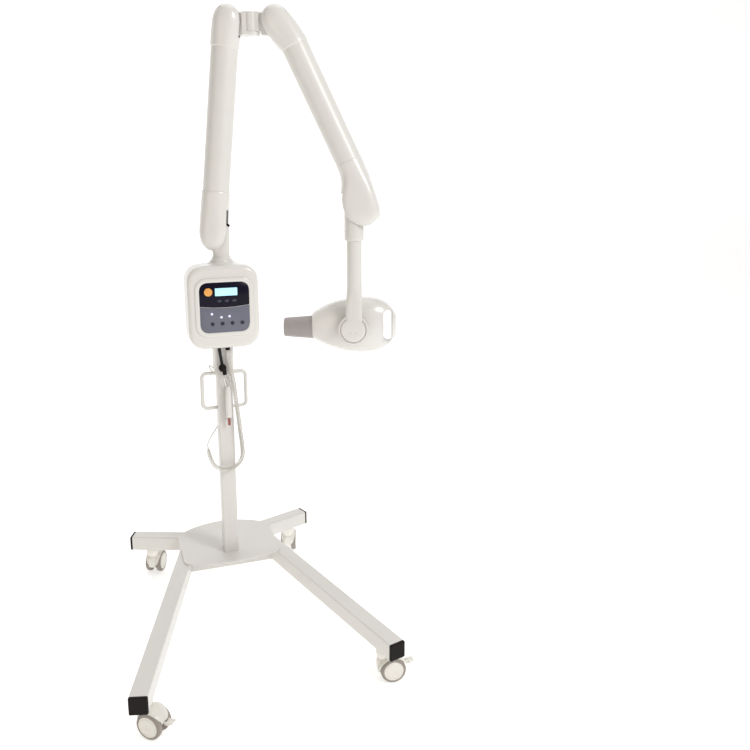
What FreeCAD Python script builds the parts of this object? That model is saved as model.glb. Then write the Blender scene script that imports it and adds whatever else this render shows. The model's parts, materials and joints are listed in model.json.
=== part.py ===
"""Mobile intraoral X-ray unit: castor base, column, control box, balanced arm and tube head.

Millimetres, +Z up. Everything is built around the column's foot and then moved by PLACE,
so that the origin is on the floor under the middle of the whole unit.
The arm is built in its own upright plane, X along the reach, and turned by ARM_TURN.
"""
import FreeCAD, Part
import math
import os

V = FreeCAD.Vector
UP = V(0, 0, 1)
ALONG = V(1, 0, 0)
BACK = V(0, 1, 0)

# ---------------------------------------------------------------- driving dimensions
PLACE = V(-100, 221, 0)          # from the column's foot to the middle of the footprint

TUBE = 50.0                      # square steel tube of the legs and the column
TUBE_WALL = 2.0
TUBE_CORNER = 4.0
LEG_TOP = 153.0                  # top of the legs above the floor
FRONT_END = V(354, -713, 0)      # centre of a front leg's end, on the +X side
FRONT_SPLAY = 15.3               # degrees that a front leg turns away from straight ahead
REAR_END = V(315, 234, 0)
REAR_SPLAY = 69.2                # degrees that a rear leg turns away from straight back
STEM_BACK = 65.0                 # castor stem to leg end

PLATE_THICK = 5.0
PLATE_HALF = 166.0               # half the base plate's width
PLATE_FRONT = (-76.0, -99.0)     # front edge at its corners and at its middle
PLATE_REAR = (186.0, 232.0)

WHEEL_R = 37.5
WHEEL_WIDE = 17.0
WHEEL_GAP = 24.0                 # between the two wheels of a castor
TRAIL = 26.0
CASTOR_TOP = LEG_TOP - TUBE
PEDAL_PIN = V(TRAIL + WHEEL_R + 5.5, 0, 48)
CASTOR_TURNS = {"front_left": 319.0, "front_right": 353.0, "rear_left": 64.0, "rear_right": 73.0}
BRAKED = ("front_left", "front_right")

COLUMN_TOP = 1046.0
SLEEVE = (62.0, 807.0)           # width of the sleeve under the box, and its lower end
HANDLE_R = 6.0
HANDLE_OUT = 73.0                # handle bar's centre line from the column's axis
HANDLE_LOW = 679.0
HANDLE_HIGH = 800.0

BOX_WIDE = 228.0
BOX_HIGH = 270.0
BOX_CORNER = 56.0
BOX_FRONT = -80.0
BOX_SEAM = -8.0
BOX_BACK = 30.0
BOX_LOW = 898.0
BOX_MID = BOX_LOW + BOX_HIGH / 2
BOX_WALL = 3.0
FACE_WIDE = 182.0                # recessed control face
FACE_HIGH = 185.0
FACE_CORNER = 40.0
FACE_DEEP = 4.0
KEY_TRAVEL = 1.0

SWIVEL_X = 8.0                   # arm swivel axis from the column's axis
PIPE_R = 26.5
ARM_TURN = -19.0                 # the arm's plane from the X axis, degrees about Z
LOWER_LENGTH = 653.0             # pivot to pivot
FORE_LENGTH = 642.0
LOWER_LEAN = 5.8                 # degrees from upright
FORE_LEAN = 25.2
SHOULDER = V(-22, 0, 1266)
LINK_LENGTH = 153.0
ELBOW_TURN = 60.0                # the link's swivel, each way
ARM_R = 42.0
ARM_WALL = 3.0
COVER_R = 45.0
KNUCKLE_R = 50.0
KNUCKLE_HALF = 46.0
FORE_OFFSET = 20.0               # forearm tube's axis from the line of its pivots

YOKE_R = 26.0
YOKE_BACK = 37.0                 # yoke axis, nearer the column than the wrist pivot
COLLAR_LOW = 1243.0
HUB = V(0, 0, 947)
HEAD_DEEP = 70.0                 # head's middle plane, behind the arm's plane
CONE_R = (31.0, 38.5)            # mouth and base
CONE_LONG = 92.0
CONE_DROP = -7.0                 # cone's axis below the tilt axis

FIT = 0.05                       # radial running clearance
GAP = 0.5                        # between pieces that pass each other


# ---------------------------------------------------------------- helpers
def export(node, shape):
    """Move a finished piece to its place and write its STEP file."""
    placed = shape.copy()
    placed.translate(PLACE)
    placed.exportStep("parts/" + node + ".step")
    return placed


def arc(start, middle, end):
    return Part.Arc(start, middle, end).toShape()


def rounded_face(wide, deep, radius):
    """A rectangle with round corners, centred, in the XY plane."""
    x = wide / 2 - radius
    y = deep / 2 - radius
    bend = radius * math.sqrt(0.5)
    edges = []
    for sx, sy, first in ((1, 1, True), (-1, 1, False), (-1, -1, True), (1, -1, False)):
        centre = V(sx * x, sy * y, 0)
        side = centre + V(sx * radius, 0, 0)
        end = centre + V(0, sy * radius, 0)
        middle = centre + V(sx * bend, sy * bend, 0)
        ends = (side, end) if first else (end, side)
        edges.append(arc(ends[0], middle, ends[1]))
        following = V(-sx * x, end.y, 0) if first else V(side.x, -sy * y, 0)
        if (following - ends[1]).Length > 0.01:
            edges.append(Part.LineSegment(ends[1], following).toShape())
    return Part.Face(Part.Wire(edges))


def bar(wide, deep, radius, low, high):
    """An upright bar with round corners from low to high."""
    face = rounded_face(wide, deep, radius)
    face.translate(V(0, 0, low))
    return face.extrude(V(0, 0, high - low))


def hollow_bar(wide, deep, radius, wall, low, high):
    outer = bar(wide, deep, radius, low, high)
    inner = bar(wide - 2 * wall, deep - 2 * wall, max(radius - wall, 0.5), low - 1, high + 1)
    return outer.cut(inner)


def rod(radius, start, end):
    way = end - start
    return Part.makeCylinder(radius, way.Length, start, way)


def pipe(outer, inner, start, end):
    way = (end - start).normalize()
    return rod(outer, start, end).cut(rod(inner, start - way, end + way))


def block(low, high):
    size = high - low
    return Part.makeBox(size.x, size.y, size.z, low)


def turn(shape, angle, axis=UP, centre=V(0, 0, 0)):
    turned = shape.copy()
    turned.rotate(centre, axis, angle)
    return turned


def shift(shape, way):
    moved = shape.copy()
    moved.translate(way)
    return moved


def mirror_x(shape):
    return shape.mirror(V(0, 0, 0), ALONG)


def revolve(points, axis_point=V(0, 0, 0), axis=UP):
    """Turn a closed outline given as (radius, height) pairs about Z."""
    corners = [V(r, 0, h) for r, h in points]
    face = Part.Face(Part.makePolygon(corners + corners[:1]))
    return face.revolve(axis_point, axis, 360)


def drum(centre, radius, half, soft):
    """A short cylinder across the arm's plane with rounded rims."""
    shape = rod(radius, centre - BACK * half, centre + BACK * half)
    rims = [edge for edge in shape.Edges if len(edge.Vertexes) == 1 and edge.Length > 6 * radius]
    return shape.makeFillet(soft, rims)


def rounded_path(points):
    """Straight runs joined by tangent arcs, each as large as its two runs allow."""
    edges = []
    radii = []
    last = points[0]
    for before, corner, after in zip(points, points[1:], points[2:]):
        into = (corner - before).normalize()
        out = (after - corner).normalize()
        half_turn = into.getAngle(out) / 2
        cut = 0.45 * min((corner - before).Length, (after - corner).Length)
        radius = cut / math.tan(half_turn)
        start = corner - into * cut
        end = corner + out * cut
        inward = (out - into).normalize()
        middle = corner + inward * (radius / math.cos(half_turn) - radius)
        edges.append(Part.LineSegment(last, start).toShape())
        edges.append(arc(start, middle, end))
        radii.append(radius)
        last = end
    edges.append(Part.LineSegment(last, points[-1]).toShape())
    return Part.Wire(edges), radii


def swept(points, radius):
    """A round bar along a path of straight runs and tangent arcs."""
    path, radii = rounded_path(points)
    ring = Part.Wire(Part.makeCircle(radius, points[0], points[1] - points[0]))
    return path.makePipeShell([ring], True, False), path.Length, radii


# ---------------------------------------------------------------- base
def leg_way(splay, ahead):
    """Unit vector from a leg's inner end to its outer end, on the +X side."""
    angle = math.radians(splay)
    return V(math.sin(angle), -math.cos(angle) if ahead else math.cos(angle), 0)


FRONT_WAY = leg_way(FRONT_SPLAY, True)
REAR_WAY = leg_way(REAR_SPLAY, False)


def leg_bar(end, way, length, wall):
    """A level square tube that ends at `end`, or its solid envelope where wall is 0."""
    if wall:
        shape = hollow_bar(TUBE, TUBE, TUBE_CORNER, wall, -length, 0)
    else:
        shape = bar(TUBE, TUBE, TUBE_CORNER, -length, 0)
    shape.rotate(V(0, 0, 0), BACK, 90)
    shape.rotate(V(0, 0, 0), UP, math.degrees(math.atan2(way.y, way.x)))
    shape.translate(V(end.x, end.y, LEG_TOP - TUBE / 2))
    return shape


def stem_place(name):
    """Where a castor's swivel axis stands on the floor."""
    ahead = name.startswith("front")
    end, way = (FRONT_END, FRONT_WAY) if ahead else (REAR_END, REAR_WAY)
    place = end - way * STEM_BACK
    side = -1 if name.endswith("left") else 1
    return V(side * place.x, place.y, 0)


def stem_hole(name):
    place = stem_place(name)
    return rod(6.0 + FIT, place + V(0, 0, CASTOR_TOP - 5), place + V(0, 0, CASTOR_TOP + 8))


def rear_leg():
    """Rear tube, mitred on the middle plane against its twin."""
    length = REAR_END.x / REAR_WAY.x + TUBE
    leg = leg_bar(REAR_END, REAR_WAY, length, TUBE_WALL)
    keep = block(V(0, -200, 0), V(500, 500, 300))
    return leg.common(keep)


def front_leg():
    """Front tube, cut where it butts against the rear tube."""
    length = 900.0
    leg = leg_bar(FRONT_END, FRONT_WAY, length, TUBE_WALL)
    wide = 400.0
    behind = block(V(-wide, -TUBE / 2, 0), V(wide, wide, 300))
    behind.rotate(V(0, 0, 0), UP, 90 - REAR_SPLAY)
    behind.translate(V(REAR_END.x, REAR_END.y, 0))
    return leg.cut(behind)


def legs():
    for side, twin in (("left", True), ("right", False)):
        for name, leg in (("front_" + side, front_leg()), ("rear_" + side, rear_leg())):
            shape = mirror_x(leg) if twin else leg
            export(name + "_leg", shape.cut(stem_hole(name)))


def cross_tube():
    """Tube under the plate between the front legs; the column's load goes into it."""
    tube = hollow_bar(TUBE, TUBE, TUBE_CORNER, TUBE_WALL, -250, 250)
    tube.rotate(V(0, 0, 0), BACK, 90)
    tube.translate(V(0, 0, LEG_TOP - TUBE / 2))
    leg = leg_bar(FRONT_END, FRONT_WAY, 900, 0)
    tube = tube.cut([leg, mirror_x(leg)])
    inner = [piece for piece in tube.Solids if abs(piece.CenterOfMass.x) < 50]
    export("column_cross_tube", inner[0])


def base_plate():
    """Barrel-shaped plate: bowed front and rear edges, rounded front corners."""
    front, front_mid = PLATE_FRONT
    rear, rear_mid = PLATE_REAR
    soft = 34.0
    lean = 30.0
    half = PLATE_HALF
    diagonal = soft * (1 - math.sqrt(0.5))
    edges = [
        arc(V(-half + soft, front, 0), V(0, front_mid, 0), V(half - soft, front, 0)),
        arc(V(half - soft, front, 0), V(half - diagonal, front + diagonal, 0), V(half, front + soft, 0)),
        Part.LineSegment(V(half, front + soft, 0), V(half, rear - lean, 0)).toShape(),
        Part.LineSegment(V(half, rear - lean, 0), V(half - lean, rear, 0)).toShape(),
        arc(V(half - lean, rear, 0), V(0, rear_mid, 0), V(-half + lean, rear, 0)),
        Part.LineSegment(V(-half + lean, rear, 0), V(-half, rear - lean, 0)).toShape(),
        Part.LineSegment(V(-half, rear - lean, 0), V(-half, front + soft, 0)).toShape(),
        arc(V(-half, front + soft, 0), V(-half + diagonal, front + diagonal, 0), V(-half + soft, front, 0)),
    ]
    face = Part.Face(Part.Wire(edges))
    face.translate(V(0, 0, LEG_TOP))
    export("base_plate", face.extrude(V(0, 0, PLATE_THICK)))


def leg_end_caps():
    """Moulded plugs: a flange that covers the tube's end and a plug inside it."""
    flange = 8.0
    plug = 16.0
    caps = []
    for end, way in ((FRONT_END, FRONT_WAY), (REAR_END, REAR_WAY)):
        cap = bar(TUBE, TUBE, TUBE_CORNER, 0, flange)
        rim = [edge for edge in cap.Edges if min(v.Z for v in edge.Vertexes) > flange - 0.1]
        cap = cap.makeFillet(2.5, rim)
        cap = cap.fuse(bar(TUBE - 2 * TUBE_WALL, TUBE - 2 * TUBE_WALL, TUBE_CORNER - TUBE_WALL, -plug, 0))
        cap.rotate(V(0, 0, 0), BACK, 90)
        cap.rotate(V(0, 0, 0), UP, math.degrees(math.atan2(way.y, way.x)))
        cap.translate(V(end.x, end.y, LEG_TOP - TUBE / 2))
        caps += [cap, mirror_x(cap)]
    export("leg_end_caps", Part.makeCompound(caps))


# ---------------------------------------------------------------- castors
def castor_local(name, shape):
    """Castor pieces are built trailing along +X over the origin, then turned and moved."""
    return shift(turn(shape, CASTOR_TURNS[name]), stem_place(name))


def castor_hood(braked):
    """Stem, swivel boss and the web with its fender between the two wheels."""
    half = WHEEL_GAP / 2 - GAP
    fender_r = WHEEL_R + 6
    wheel_mid = V(TRAIL, 0, WHEEL_R)
    web = rod(fender_r, wheel_mid - BACK * half, wheel_mid + BACK * half)
    floor_cut = block(V(-80, -60, -20), V(120, 60, 16))
    top_cut = block(V(-80, -60, CASTOR_TOP - 22), V(120, 60, CASTOR_TOP + 30))
    web = web.cut(floor_cut).cut(top_cut)
    if braked:
        web = web.cut(block(V(PEDAL_PIN.x - 5, -40, 40), V(PEDAL_PIN.x + 40, 40, 60)))
    neck = block(V(-17, -half, WHEEL_R), V(20, half, CASTOR_TOP - 18))
    boss = revolve([(0, CASTOR_TOP - 26), (15, CASTOR_TOP - 26), (22, CASTOR_TOP - 14),
                    (22, CASTOR_TOP - GAP), (0, CASTOR_TOP - GAP)])
    roof = rod(fender_r, wheel_mid - BACK * 27, wheel_mid + BACK * 27)
    roof = roof.cut(rod(WHEEL_R + 2, wheel_mid - BACK * 28, wheel_mid + BACK * 28))
    roof = roof.common(block(V(-30, -30, WHEEL_R + 16), V(45, 30, CASTOR_TOP - 21)))
    stem = rod(6.0, V(0, 0, CASTOR_TOP - 10), V(0, 0, CASTOR_TOP + 6))
    axle_hole = rod(4.0 + FIT, wheel_mid - BACK * 40, wheel_mid + BACK * 40)
    parts = [neck, boss, roof, stem]
    holes = [axle_hole]
    if braked:
        parts.append(block(V(TRAIL + 30, -6, 43), V(PEDAL_PIN.x + 3.5, 6, 53)))
        holes.append(rod(2.0 + FIT, PEDAL_PIN - BACK * 20, PEDAL_PIN + BACK * 20))
    return web.fuse(parts).removeSplitter().cut(holes)


def castor_wheels():
    """Twin wheels with domed caps, joined by the axle that turns in the hood."""
    inner = WHEEL_GAP / 2
    outer = inner + WHEEL_WIDE
    soft = 4.0
    tread = [(4, inner), (WHEEL_R - soft, inner), (WHEEL_R, inner + soft), (WHEEL_R, outer - soft - 2),
             (WHEEL_R - soft, outer - 2), (28, outer - 2), (24, outer), (0, outer), (0, 0), (4, 0)]
    half = revolve(tread)
    half.rotate(V(0, 0, 0), ALONG, 90)
    twin = half.mirror(V(0, 0, 0), BACK)
    return shift(half.fuse(twin).removeSplitter(), V(TRAIL, 0, WHEEL_R))


def brake_pedal():
    """Foot plate with two ears on the hood's lug, and the pin they turn on."""
    pin = PEDAL_PIN
    tread = block(V(pin.x + 5, -10, 50), V(pin.x + 21, 10, 54))
    ears = [block(V(pin.x - 3, side, 44.5), V(pin.x + 12, side + 3.2, 52)) for side in (-9.7, 6.5)]
    shaft = rod(2.0, pin - BACK * 9, pin + BACK * 9)
    return tread.fuse(ears + [shaft]).removeSplitter()


def castors():
    wheels = castor_wheels()
    pedal = brake_pedal()
    for name in CASTOR_TURNS:
        export(name + "_castor_hood", castor_local(name, castor_hood(name in BRAKED)))
        export(name + "_castor_wheels", castor_local(name, wheels))
        if name in BRAKED:
            export(name + "_brake_pedal", castor_local(name, pedal))


# ---------------------------------------------------------------- column and handles
def column():
    """Square column from the plate into the box, with the thicker sleeve welded under the box."""
    foot = LEG_TOP + PLATE_THICK
    tube = hollow_bar(TUBE, TUBE, TUBE_CORNER, TUBE_WALL, foot, COLUMN_TOP)
    wide, low = SLEEVE
    sleeve = hollow_bar(wide, wide, TUBE_CORNER + 4, (wide - TUBE) / 2, low, BOX_LOW)
    export("column", tube.fuse(sleeve).removeSplitter())


def push_handles():
    """Two bent bars welded to the column's sides."""
    start = TUBE / 2
    for name, side in (("left_push_handle", -1), ("right_push_handle", 1)):
        points = [V(side * start, 0, HANDLE_HIGH), V(side * HANDLE_OUT, 0, HANDLE_HIGH),
                  V(side * HANDLE_OUT, 0, HANDLE_LOW), V(side * start, 0, HANDLE_LOW)]
        bend = 16.0
        edges = []
        last = points[0]
        for before, corner, after in zip(points, points[1:], points[2:]):
            into = (corner - before).normalize()
            out = (after - corner).normalize()
            first = corner - into * bend
            second = corner + out * bend
            middle = corner + (out - into).normalize() * bend * (math.sqrt(2) - 1)
            edges.append(Part.LineSegment(last, first).toShape())
            edges.append(arc(first, middle, second))
            last = second
        edges.append(Part.LineSegment(last, points[-1]).toShape())
        ring = Part.Wire(Part.makeCircle(HANDLE_R, points[0], ALONG))
        export(name, Part.Wire(edges).makePipeShell([ring], True, False))


# ---------------------------------------------------------------- control box
def box_slab(wide, high, corner, front, back):
    """A rounded slab facing -Y, centred on the box."""
    slab = bar(wide, high, corner, 0, back - front)
    slab.rotate(V(0, 0, 0), ALONG, -90)
    slab.translate(V(0, front, BOX_MID))
    return slab


def box_envelope(inset):
    """The box's outer form with softened front and rear rims, or its cavity when inset."""
    slab = box_slab(BOX_WIDE - 2 * inset, BOX_HIGH - 2 * inset, BOX_CORNER - inset,
                    BOX_FRONT + inset, BOX_BACK - inset)
    soft = 14.0 - inset
    front = [e for e in slab.Edges if max(v.Y for v in e.Vertexes) < BOX_FRONT + inset + 0.1]
    rear = [e for e in slab.Edges if min(v.Y for v in e.Vertexes) > BOX_BACK - inset - 0.1]
    return slab.makeFillet(soft, front + rear)


KEY_ROWS = {
    "exposure_key": [(-50.0, 1086.0)],
    "menu_key": [(-16.0, 1056.0), (8.0, 1056.0), (32.0, 1056.0)],
    "mode_key": [(-40.0, 982.0), (-8.0, 982.0), (24.0, 982.0), (56.0, 982.0)],
}
KEY_SIZES = {"exposure_key": (13.0, 13.0), "menu_key": (7.0, 4.5), "mode_key": (7.5, 5.5)}
DISPLAY = (-29.0, 43.0, 1072.0, 1098.0)
LIGHTS = [(-39.0, 1015.0), (-8.0, 1003.0), (19.0, 1003.0)]
FACE_Y = BOX_FRONT + FACE_DEEP


def key_cap(kind, centre, grow=0.0, front=BOX_FRONT + FACE_DEEP - 2.5, back=BOX_FRONT + FACE_DEEP + 9):
    """A round-ended key standing 2.5 mm out of the overlay, with its stem behind it."""
    half_wide, half_high = KEY_SIZES[kind]
    wide = 2 * (half_wide + grow)
    high = 2 * (half_high + grow)
    shape = bar(wide, high, min(wide, high) / 2 - 0.01, 0, back - front)
    shape.rotate(V(0, 0, 0), ALONG, -90)
    shape.translate(V(centre[0], front, centre[1]))
    return shape


def each_key():
    for kind, places in KEY_ROWS.items():
        for number, place in enumerate(places, 1):
            name = kind if len(places) == 1 else kind + "_" + str(number)
            yield name, kind, place


def display_box(grow, front, back):
    left, right, low, high = DISPLAY
    return block(V(left - grow, front, low - grow), V(right + grow, back, high + grow))


def face_holes(grow, front, back):
    """Openings of the keys, the display and the lights through a layer of the face."""
    holes = [key_cap(kind, place, grow, front, back) for _, kind, place in each_key()]
    holes.append(display_box(0.2, front, back))
    for x, z in LIGHTS:
        holes.append(rod(2.2, V(x, front, z), V(x, back, z)))
    return holes


def control_box():
    outer = box_envelope(0)
    inner = box_envelope(BOX_WALL)
    shell = outer.cut(inner)
    recess = box_slab(FACE_WIDE, FACE_HIGH, FACE_CORNER, BOX_FRONT - 1, BOX_FRONT + FACE_DEEP)
    pad = box_slab(FACE_WIDE + 8, FACE_HIGH + 8, FACE_CORNER + 4, BOX_FRONT, BOX_FRONT + 2 + FACE_DEEP)
    front_half = block(V(-300, BOX_FRONT - 10, 0), V(300, BOX_SEAM, 2000))
    rear_half = block(V(-300, BOX_SEAM, 0), V(300, BOX_BACK + 10, 2000))
    column_hole = bar(SLEEVE[0] + 1, SLEEVE[0] + 1, TUBE_CORNER + 4, BOX_LOW - 20, BOX_LOW + 30)
    boss_hole = rod(36.2, V(SWIVEL_X, 0, BOX_MID), V(SWIVEL_X, 0, BOX_LOW + BOX_HIGH + 30))
    holes = face_holes(GAP, BOX_FRONT + FACE_DEEP - 5, BOX_FRONT + FACE_DEEP + 9)
    cord_hole = rod(5.0, GLAND, GLAND + UP * 40)
    front = shell.common(front_half).fuse(pad)
    front = front.cut([recess, column_hole, boss_hole, cord_hole] + holes)
    inlet_hole = block(V(-62, -4, BOX_LOW - 5), V(-34, 18, BOX_LOW + 10))
    rear = shell.common(rear_half).cut([column_hole, boss_hole, inlet_hole])
    export("case_front_shell", front.removeSplitter())
    export("case_rear_shell", rear.removeSplitter())


def control_face():
    """Printed overlay, display window, keys and the board that carries switches and lights."""
    thick = 0.8
    back = BOX_FRONT + FACE_DEEP
    overlay = box_slab(FACE_WIDE - 1, FACE_HIGH - 1, FACE_CORNER - 0.5, back - thick, back)
    export("panel_overlay", overlay.cut(face_holes(GAP, back - 5, back + 5)))
    window = display_box(0, back - thick - 0.4, back + 3)
    export("display_window", window)
    for name, kind, place in each_key():
        export(name, key_cap(kind, place))
    board_front = back + 9 + KEY_TRAVEL + 0.3
    board = block(V(-78, board_front, BOX_MID - 78), V(78, board_front + 1.6, BOX_MID + 70))
    parts = [board]
    for x, z in LIGHTS:
        lens = rod(2.0, V(x, back - thick - 0.3, z), V(x, board_front, z))
        parts.append(lens)
    display_module = display_box(2, back + 3, board_front)
    parts.append(display_module)
    export("control_board", parts[0].fuse(parts[1:]).removeSplitter())


def mains_inlet():
    """Appliance inlet in the box's underside: a shroud with three pins."""
    low = BOX_LOW - 2
    body = block(V(-61.8, -3.8, low + 2), V(-34.2, 17.8, BOX_LOW + 26))
    flange = block(V(-65, -7, low), V(-31, 21, low + 2))
    socket = block(V(-59, -1, low - 1), V(-37, 15, BOX_LOW + 18))
    body = body.fuse(flange).cut(socket)
    for x in (-54, -48, -42):
        body = body.fuse(block(V(x - 1, 4, BOX_LOW + 4), V(x + 1, 10, BOX_LOW + 19)))
    export("mains_inlet", body.removeSplitter())


def pipe_socket():
    """Bearing sleeve on the column's head; the arm's pipe turns in it."""
    foot = V(SWIVEL_X, 0, COLUMN_TOP)
    sleeve = rod(33, foot, V(SWIVEL_X, 0, 1180))
    flange = rod(40, foot, foot + V(0, 0, 8))
    collar = rod(36, V(SWIVEL_X, 0, BOX_LOW + BOX_HIGH + GAP), V(SWIVEL_X, 0, 1177))
    bore = rod(PIPE_R + FIT, foot + V(0, 0, 12), foot + V(0, 0, 200))
    wall = block(V(-60, BOX_BACK - BOX_WALL - GAP, COLUMN_TOP - 1), V(60, 60, COLUMN_TOP + 8))
    export("pipe_socket", sleeve.fuse([flange, collar]).removeSplitter().cut([bore, wall]))


# ---------------------------------------------------------------- hand switch
SWITCH = V(6, -44, 0)            # the hanging switch's axis
SWITCH_TOP = 762.0
SWITCH_LOW = 654.0
HANGER = V(-9, -44, 826)         # middle of the clip's body
STRAP_TOP = V(-18, -44, BOX_LOW)
CORD_R = 2.0
COIL_R = 7.5
GLAND_LOW = BOX_LOW - 12
GLAND = V(10, -44, GLAND_LOW)
LOOP_R = 55.0                    # the cord's loop in front of the column
LOOP = V(-8, -47, 527)


def hand_switch():
    """Round switch body with a slimmer neck, hanging with its button down."""
    outline = [(0, SWITCH_LOW), (7.5, SWITCH_LOW), (9.6, SWITCH_LOW + 4), (10, SWITCH_LOW + 60),
               (9.5, SWITCH_TOP - 26), (9.0, SWITCH_TOP - 8), (5.0, SWITCH_TOP), (0, SWITCH_TOP)]
    well = rod(6.2 + FIT, V(0, 0, SWITCH_LOW - 1), V(0, 0, SWITCH_LOW + 24))
    export("hand_switch_body", shift(revolve(outline).cut(well), SWITCH))
    button = [(0, SWITCH_LOW - 28), (4.5, SWITCH_LOW - 28), (6.2, SWITCH_LOW - 25),
              (6.2, SWITCH_LOW + 18), (0, SWITCH_LOW + 18)]
    export("hand_switch_button", shift(revolve(button), SWITCH))


def switch_hanger():
    """Webbing strap from the box, and the spring clip that grips the switch's neck."""
    way = STRAP_TOP - HANGER
    strap = block(V(-5, -1.2, 12), V(5, 1.2, way.Length + 3))
    strap.rotate(V(0, 0, 0), BACK, math.degrees(math.atan2(way.x, way.z)))
    strap.translate(HANGER)
    above = block(V(-60, -80, BOX_LOW), V(60, 0, BOX_LOW + 20))
    body = rod(12.5, HANGER - BACK * 5, HANGER + BACK * 5)
    export("switch_strap", strap.cut([above, body]))
    neck = SWITCH + V(0, 0, SWITCH_TOP)
    parts = [block(V(SWITCH.x - 12, -46, 802), V(SWITCH.x + 2, -42, 816))]
    for side in (-1, 1):
        start = V(SWITCH.x - 5 + side * 4, -44, 806)
        knee = V(SWITCH.x + side * 6.5, -44, 788)
        tip = neck + V(side * 5.5, 0, 1)
        parts += [rod(2.4, start, knee), rod(2.4, knee, tip), Part.makeSphere(2.4, knee)]
    clip = body.fuse(parts).removeSplitter()
    passing = rod(CORD_R + 0.4, neck, neck + V(0, 0, 40))
    export("switch_clip", clip.cut(passing).Solids[0])


def coil_route():
    """From the gland down past the column's right side, round the loop and up the left."""
    corner = LOOP_R * math.tan(math.radians(22.5))
    right = LOOP.x + LOOP_R
    left = LOOP.x - LOOP_R
    down = [GLAND, V(11, -45, 862), V(17, -47, 822), V(25, -47, 778), V(29, -46, 732),
            V(33, -47, 688), V(38, -46, 642), V(42, -46, 594), V(right, -46, 548)]
    loop = [V(right, LOOP.y, LOOP.z - corner), V(LOOP.x + corner, LOOP.y - 1, LOOP.z - LOOP_R),
            V(LOOP.x - corner, LOOP.y, LOOP.z - LOOP_R), V(left, LOOP.y + 5, LOOP.z - corner)]
    return down + loop + [V(left - 3, LOOP.y + 17, 549)]


def lead_route():
    """From the curls behind the column, over the left handle and down to the switch's neck."""
    top = SWITCH + V(0, 0, SWITCH_TOP)
    start = coil_route()[-1]
    return [start, V(-67, -23, 560), V(-58, -6, 570), V(-46, 18, 577), V(-28, 37, 590),
            V(-9, 45, 622), V(-5, 46, 668), V(-5, 46, 722), V(-9, 46, 770), V(-25, 42, 806),
            V(-45, 23, 823), V(-48, -6, 823), V(-41, -34, 814), V(-24, -52, 803), V(-6, -56, 794),
            V(6, -53, 784), top + V(0, 0, 11), top]


def switch_cord():
    """The cord's plain solids: its gland, the envelope of the curls and the thin lead."""
    foot = GLAND + UP * GAP
    gland = rod(9.0, GLAND + UP * 8, GLAND + UP * 12)
    gland = gland.fuse([rod(COIL_R, foot, GLAND + UP * 12), rod(5, foot, GLAND + UP * 20)])
    export("cord_gland", gland.removeSplitter())
    for name, route, radius in (("switch_cord_coil", coil_route(), COIL_R),
                                ("switch_cord_lead", lead_route(), CORD_R)):
        shape, length, radii = swept(route, radius)
        ideal = math.pi * radius ** 2 * length
        print(name, "length", round(length, 1), "radii", [round(r, 1) for r in radii],
              "volume", round(shape.Volume / ideal, 4))
        export(name, shape)


# ---------------------------------------------------------------- arm
def along(angle, distance):
    """A vector in the arm's plane at an angle from straight up, leaning along the reach."""
    angle = math.radians(angle)
    return V(math.sin(angle) * distance, 0, math.cos(angle) * distance)


ELBOW_IN = SHOULDER + along(LOWER_LEAN, LOWER_LENGTH)
ELBOW_OUT = ELBOW_IN + V(LINK_LENGTH, 0, 0)
WRIST = ELBOW_OUT + along(180 - FORE_LEAN, FORE_LENGTH)
YOKE_AXIS = V(WRIST.x - YOKE_BACK, 0, 0)
HUB_AXIS = V(YOKE_AXIS.x - 4, 0, HUB.z)


def arm_place(point):
    """A point of the arm's plane in the unit's own frame, without PLACE."""
    turned = FreeCAD.Rotation(UP, ARM_TURN).multVec(point)
    return turned + V(SWIVEL_X, 0, 0)


def arm_export(node, shape):
    shape = shift(turn(shape, ARM_TURN), V(SWIVEL_X, 0, 0))
    export(node, shape)


def lean_from(pivot, angle, shape):
    """Put a piece built upright at the origin onto a pivot, leaning along the reach."""
    return shift(turn(shape, angle, BACK), pivot)


def end_cover(offset, rim, slot_low, slot_high, slot_half, lobe=None):
    """Shell over an arm's end: a drum at the pivot and a sleeve round the tube above it.

    The slot, from slot_low to slot_high in the arm's plane, lets the bracket swing.
    """
    centre = V(0, 0, 0)
    outer = drum(centre, KNUCKLE_R, KNUCKLE_HALF, 20)
    shoulder = V(offset, 0, 0)
    outer = outer.fuse([rod(COVER_R, shoulder, V(offset, 0, rim)), Part.makeSphere(COVER_R, shoulder)])
    inner = drum(centre, KNUCKLE_R - 3, KNUCKLE_HALF - 3, 17)
    inner = inner.fuse([rod(ARM_R, shoulder, V(offset, 0, rim + 1)), Part.makeSphere(ARM_R, shoulder)])
    if lobe:
        outer = outer.fuse(drum(lobe, 30, KNUCKLE_HALF - 4, 14))
        inner = inner.fuse(drum(lobe, 27, KNUCKLE_HALF - 7, 11))
    slot = block(V(slot_low[0], -slot_half, slot_low[1]), V(slot_high[0], slot_half, slot_high[1]))
    shell = outer.cut(inner).cut(slot)
    return max(shell.removeSplitter().Solids, key=lambda solid: solid.Volume)


def pivot_pin(half):
    return rod(8.0, -BACK * half, BACK * half)


def arm_tube(offset, low, high):
    return pipe(ARM_R, ARM_R - ARM_WALL, V(offset, 0, low), V(offset, 0, high))


def balance_spring(offset, low, high):
    """Close-wound tension spring, as a ribbed tube with a solid hook plug at each end."""
    pitch = 12.0
    turns = int((high - low - 40) / pitch)
    outline = [(15.0, low + 20)]
    for index in range(turns):
        start = low + 20 + index * pitch
        outline += [(20.0, start + 0.5), (20.0, start + pitch - 1.5), (18.5, start + pitch - 0.75)]
    outline.append((15.0, low + 20 + turns * pitch))
    coil = revolve(outline)
    plugs = [rod(15.0, V(0, 0, low + 8), V(0, 0, low + 32)),
             rod(15.0, V(0, 0, high - 52), V(0, 0, high - 20))]
    return shift(coil.fuse(plugs), V(offset, 0, 0))


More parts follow.
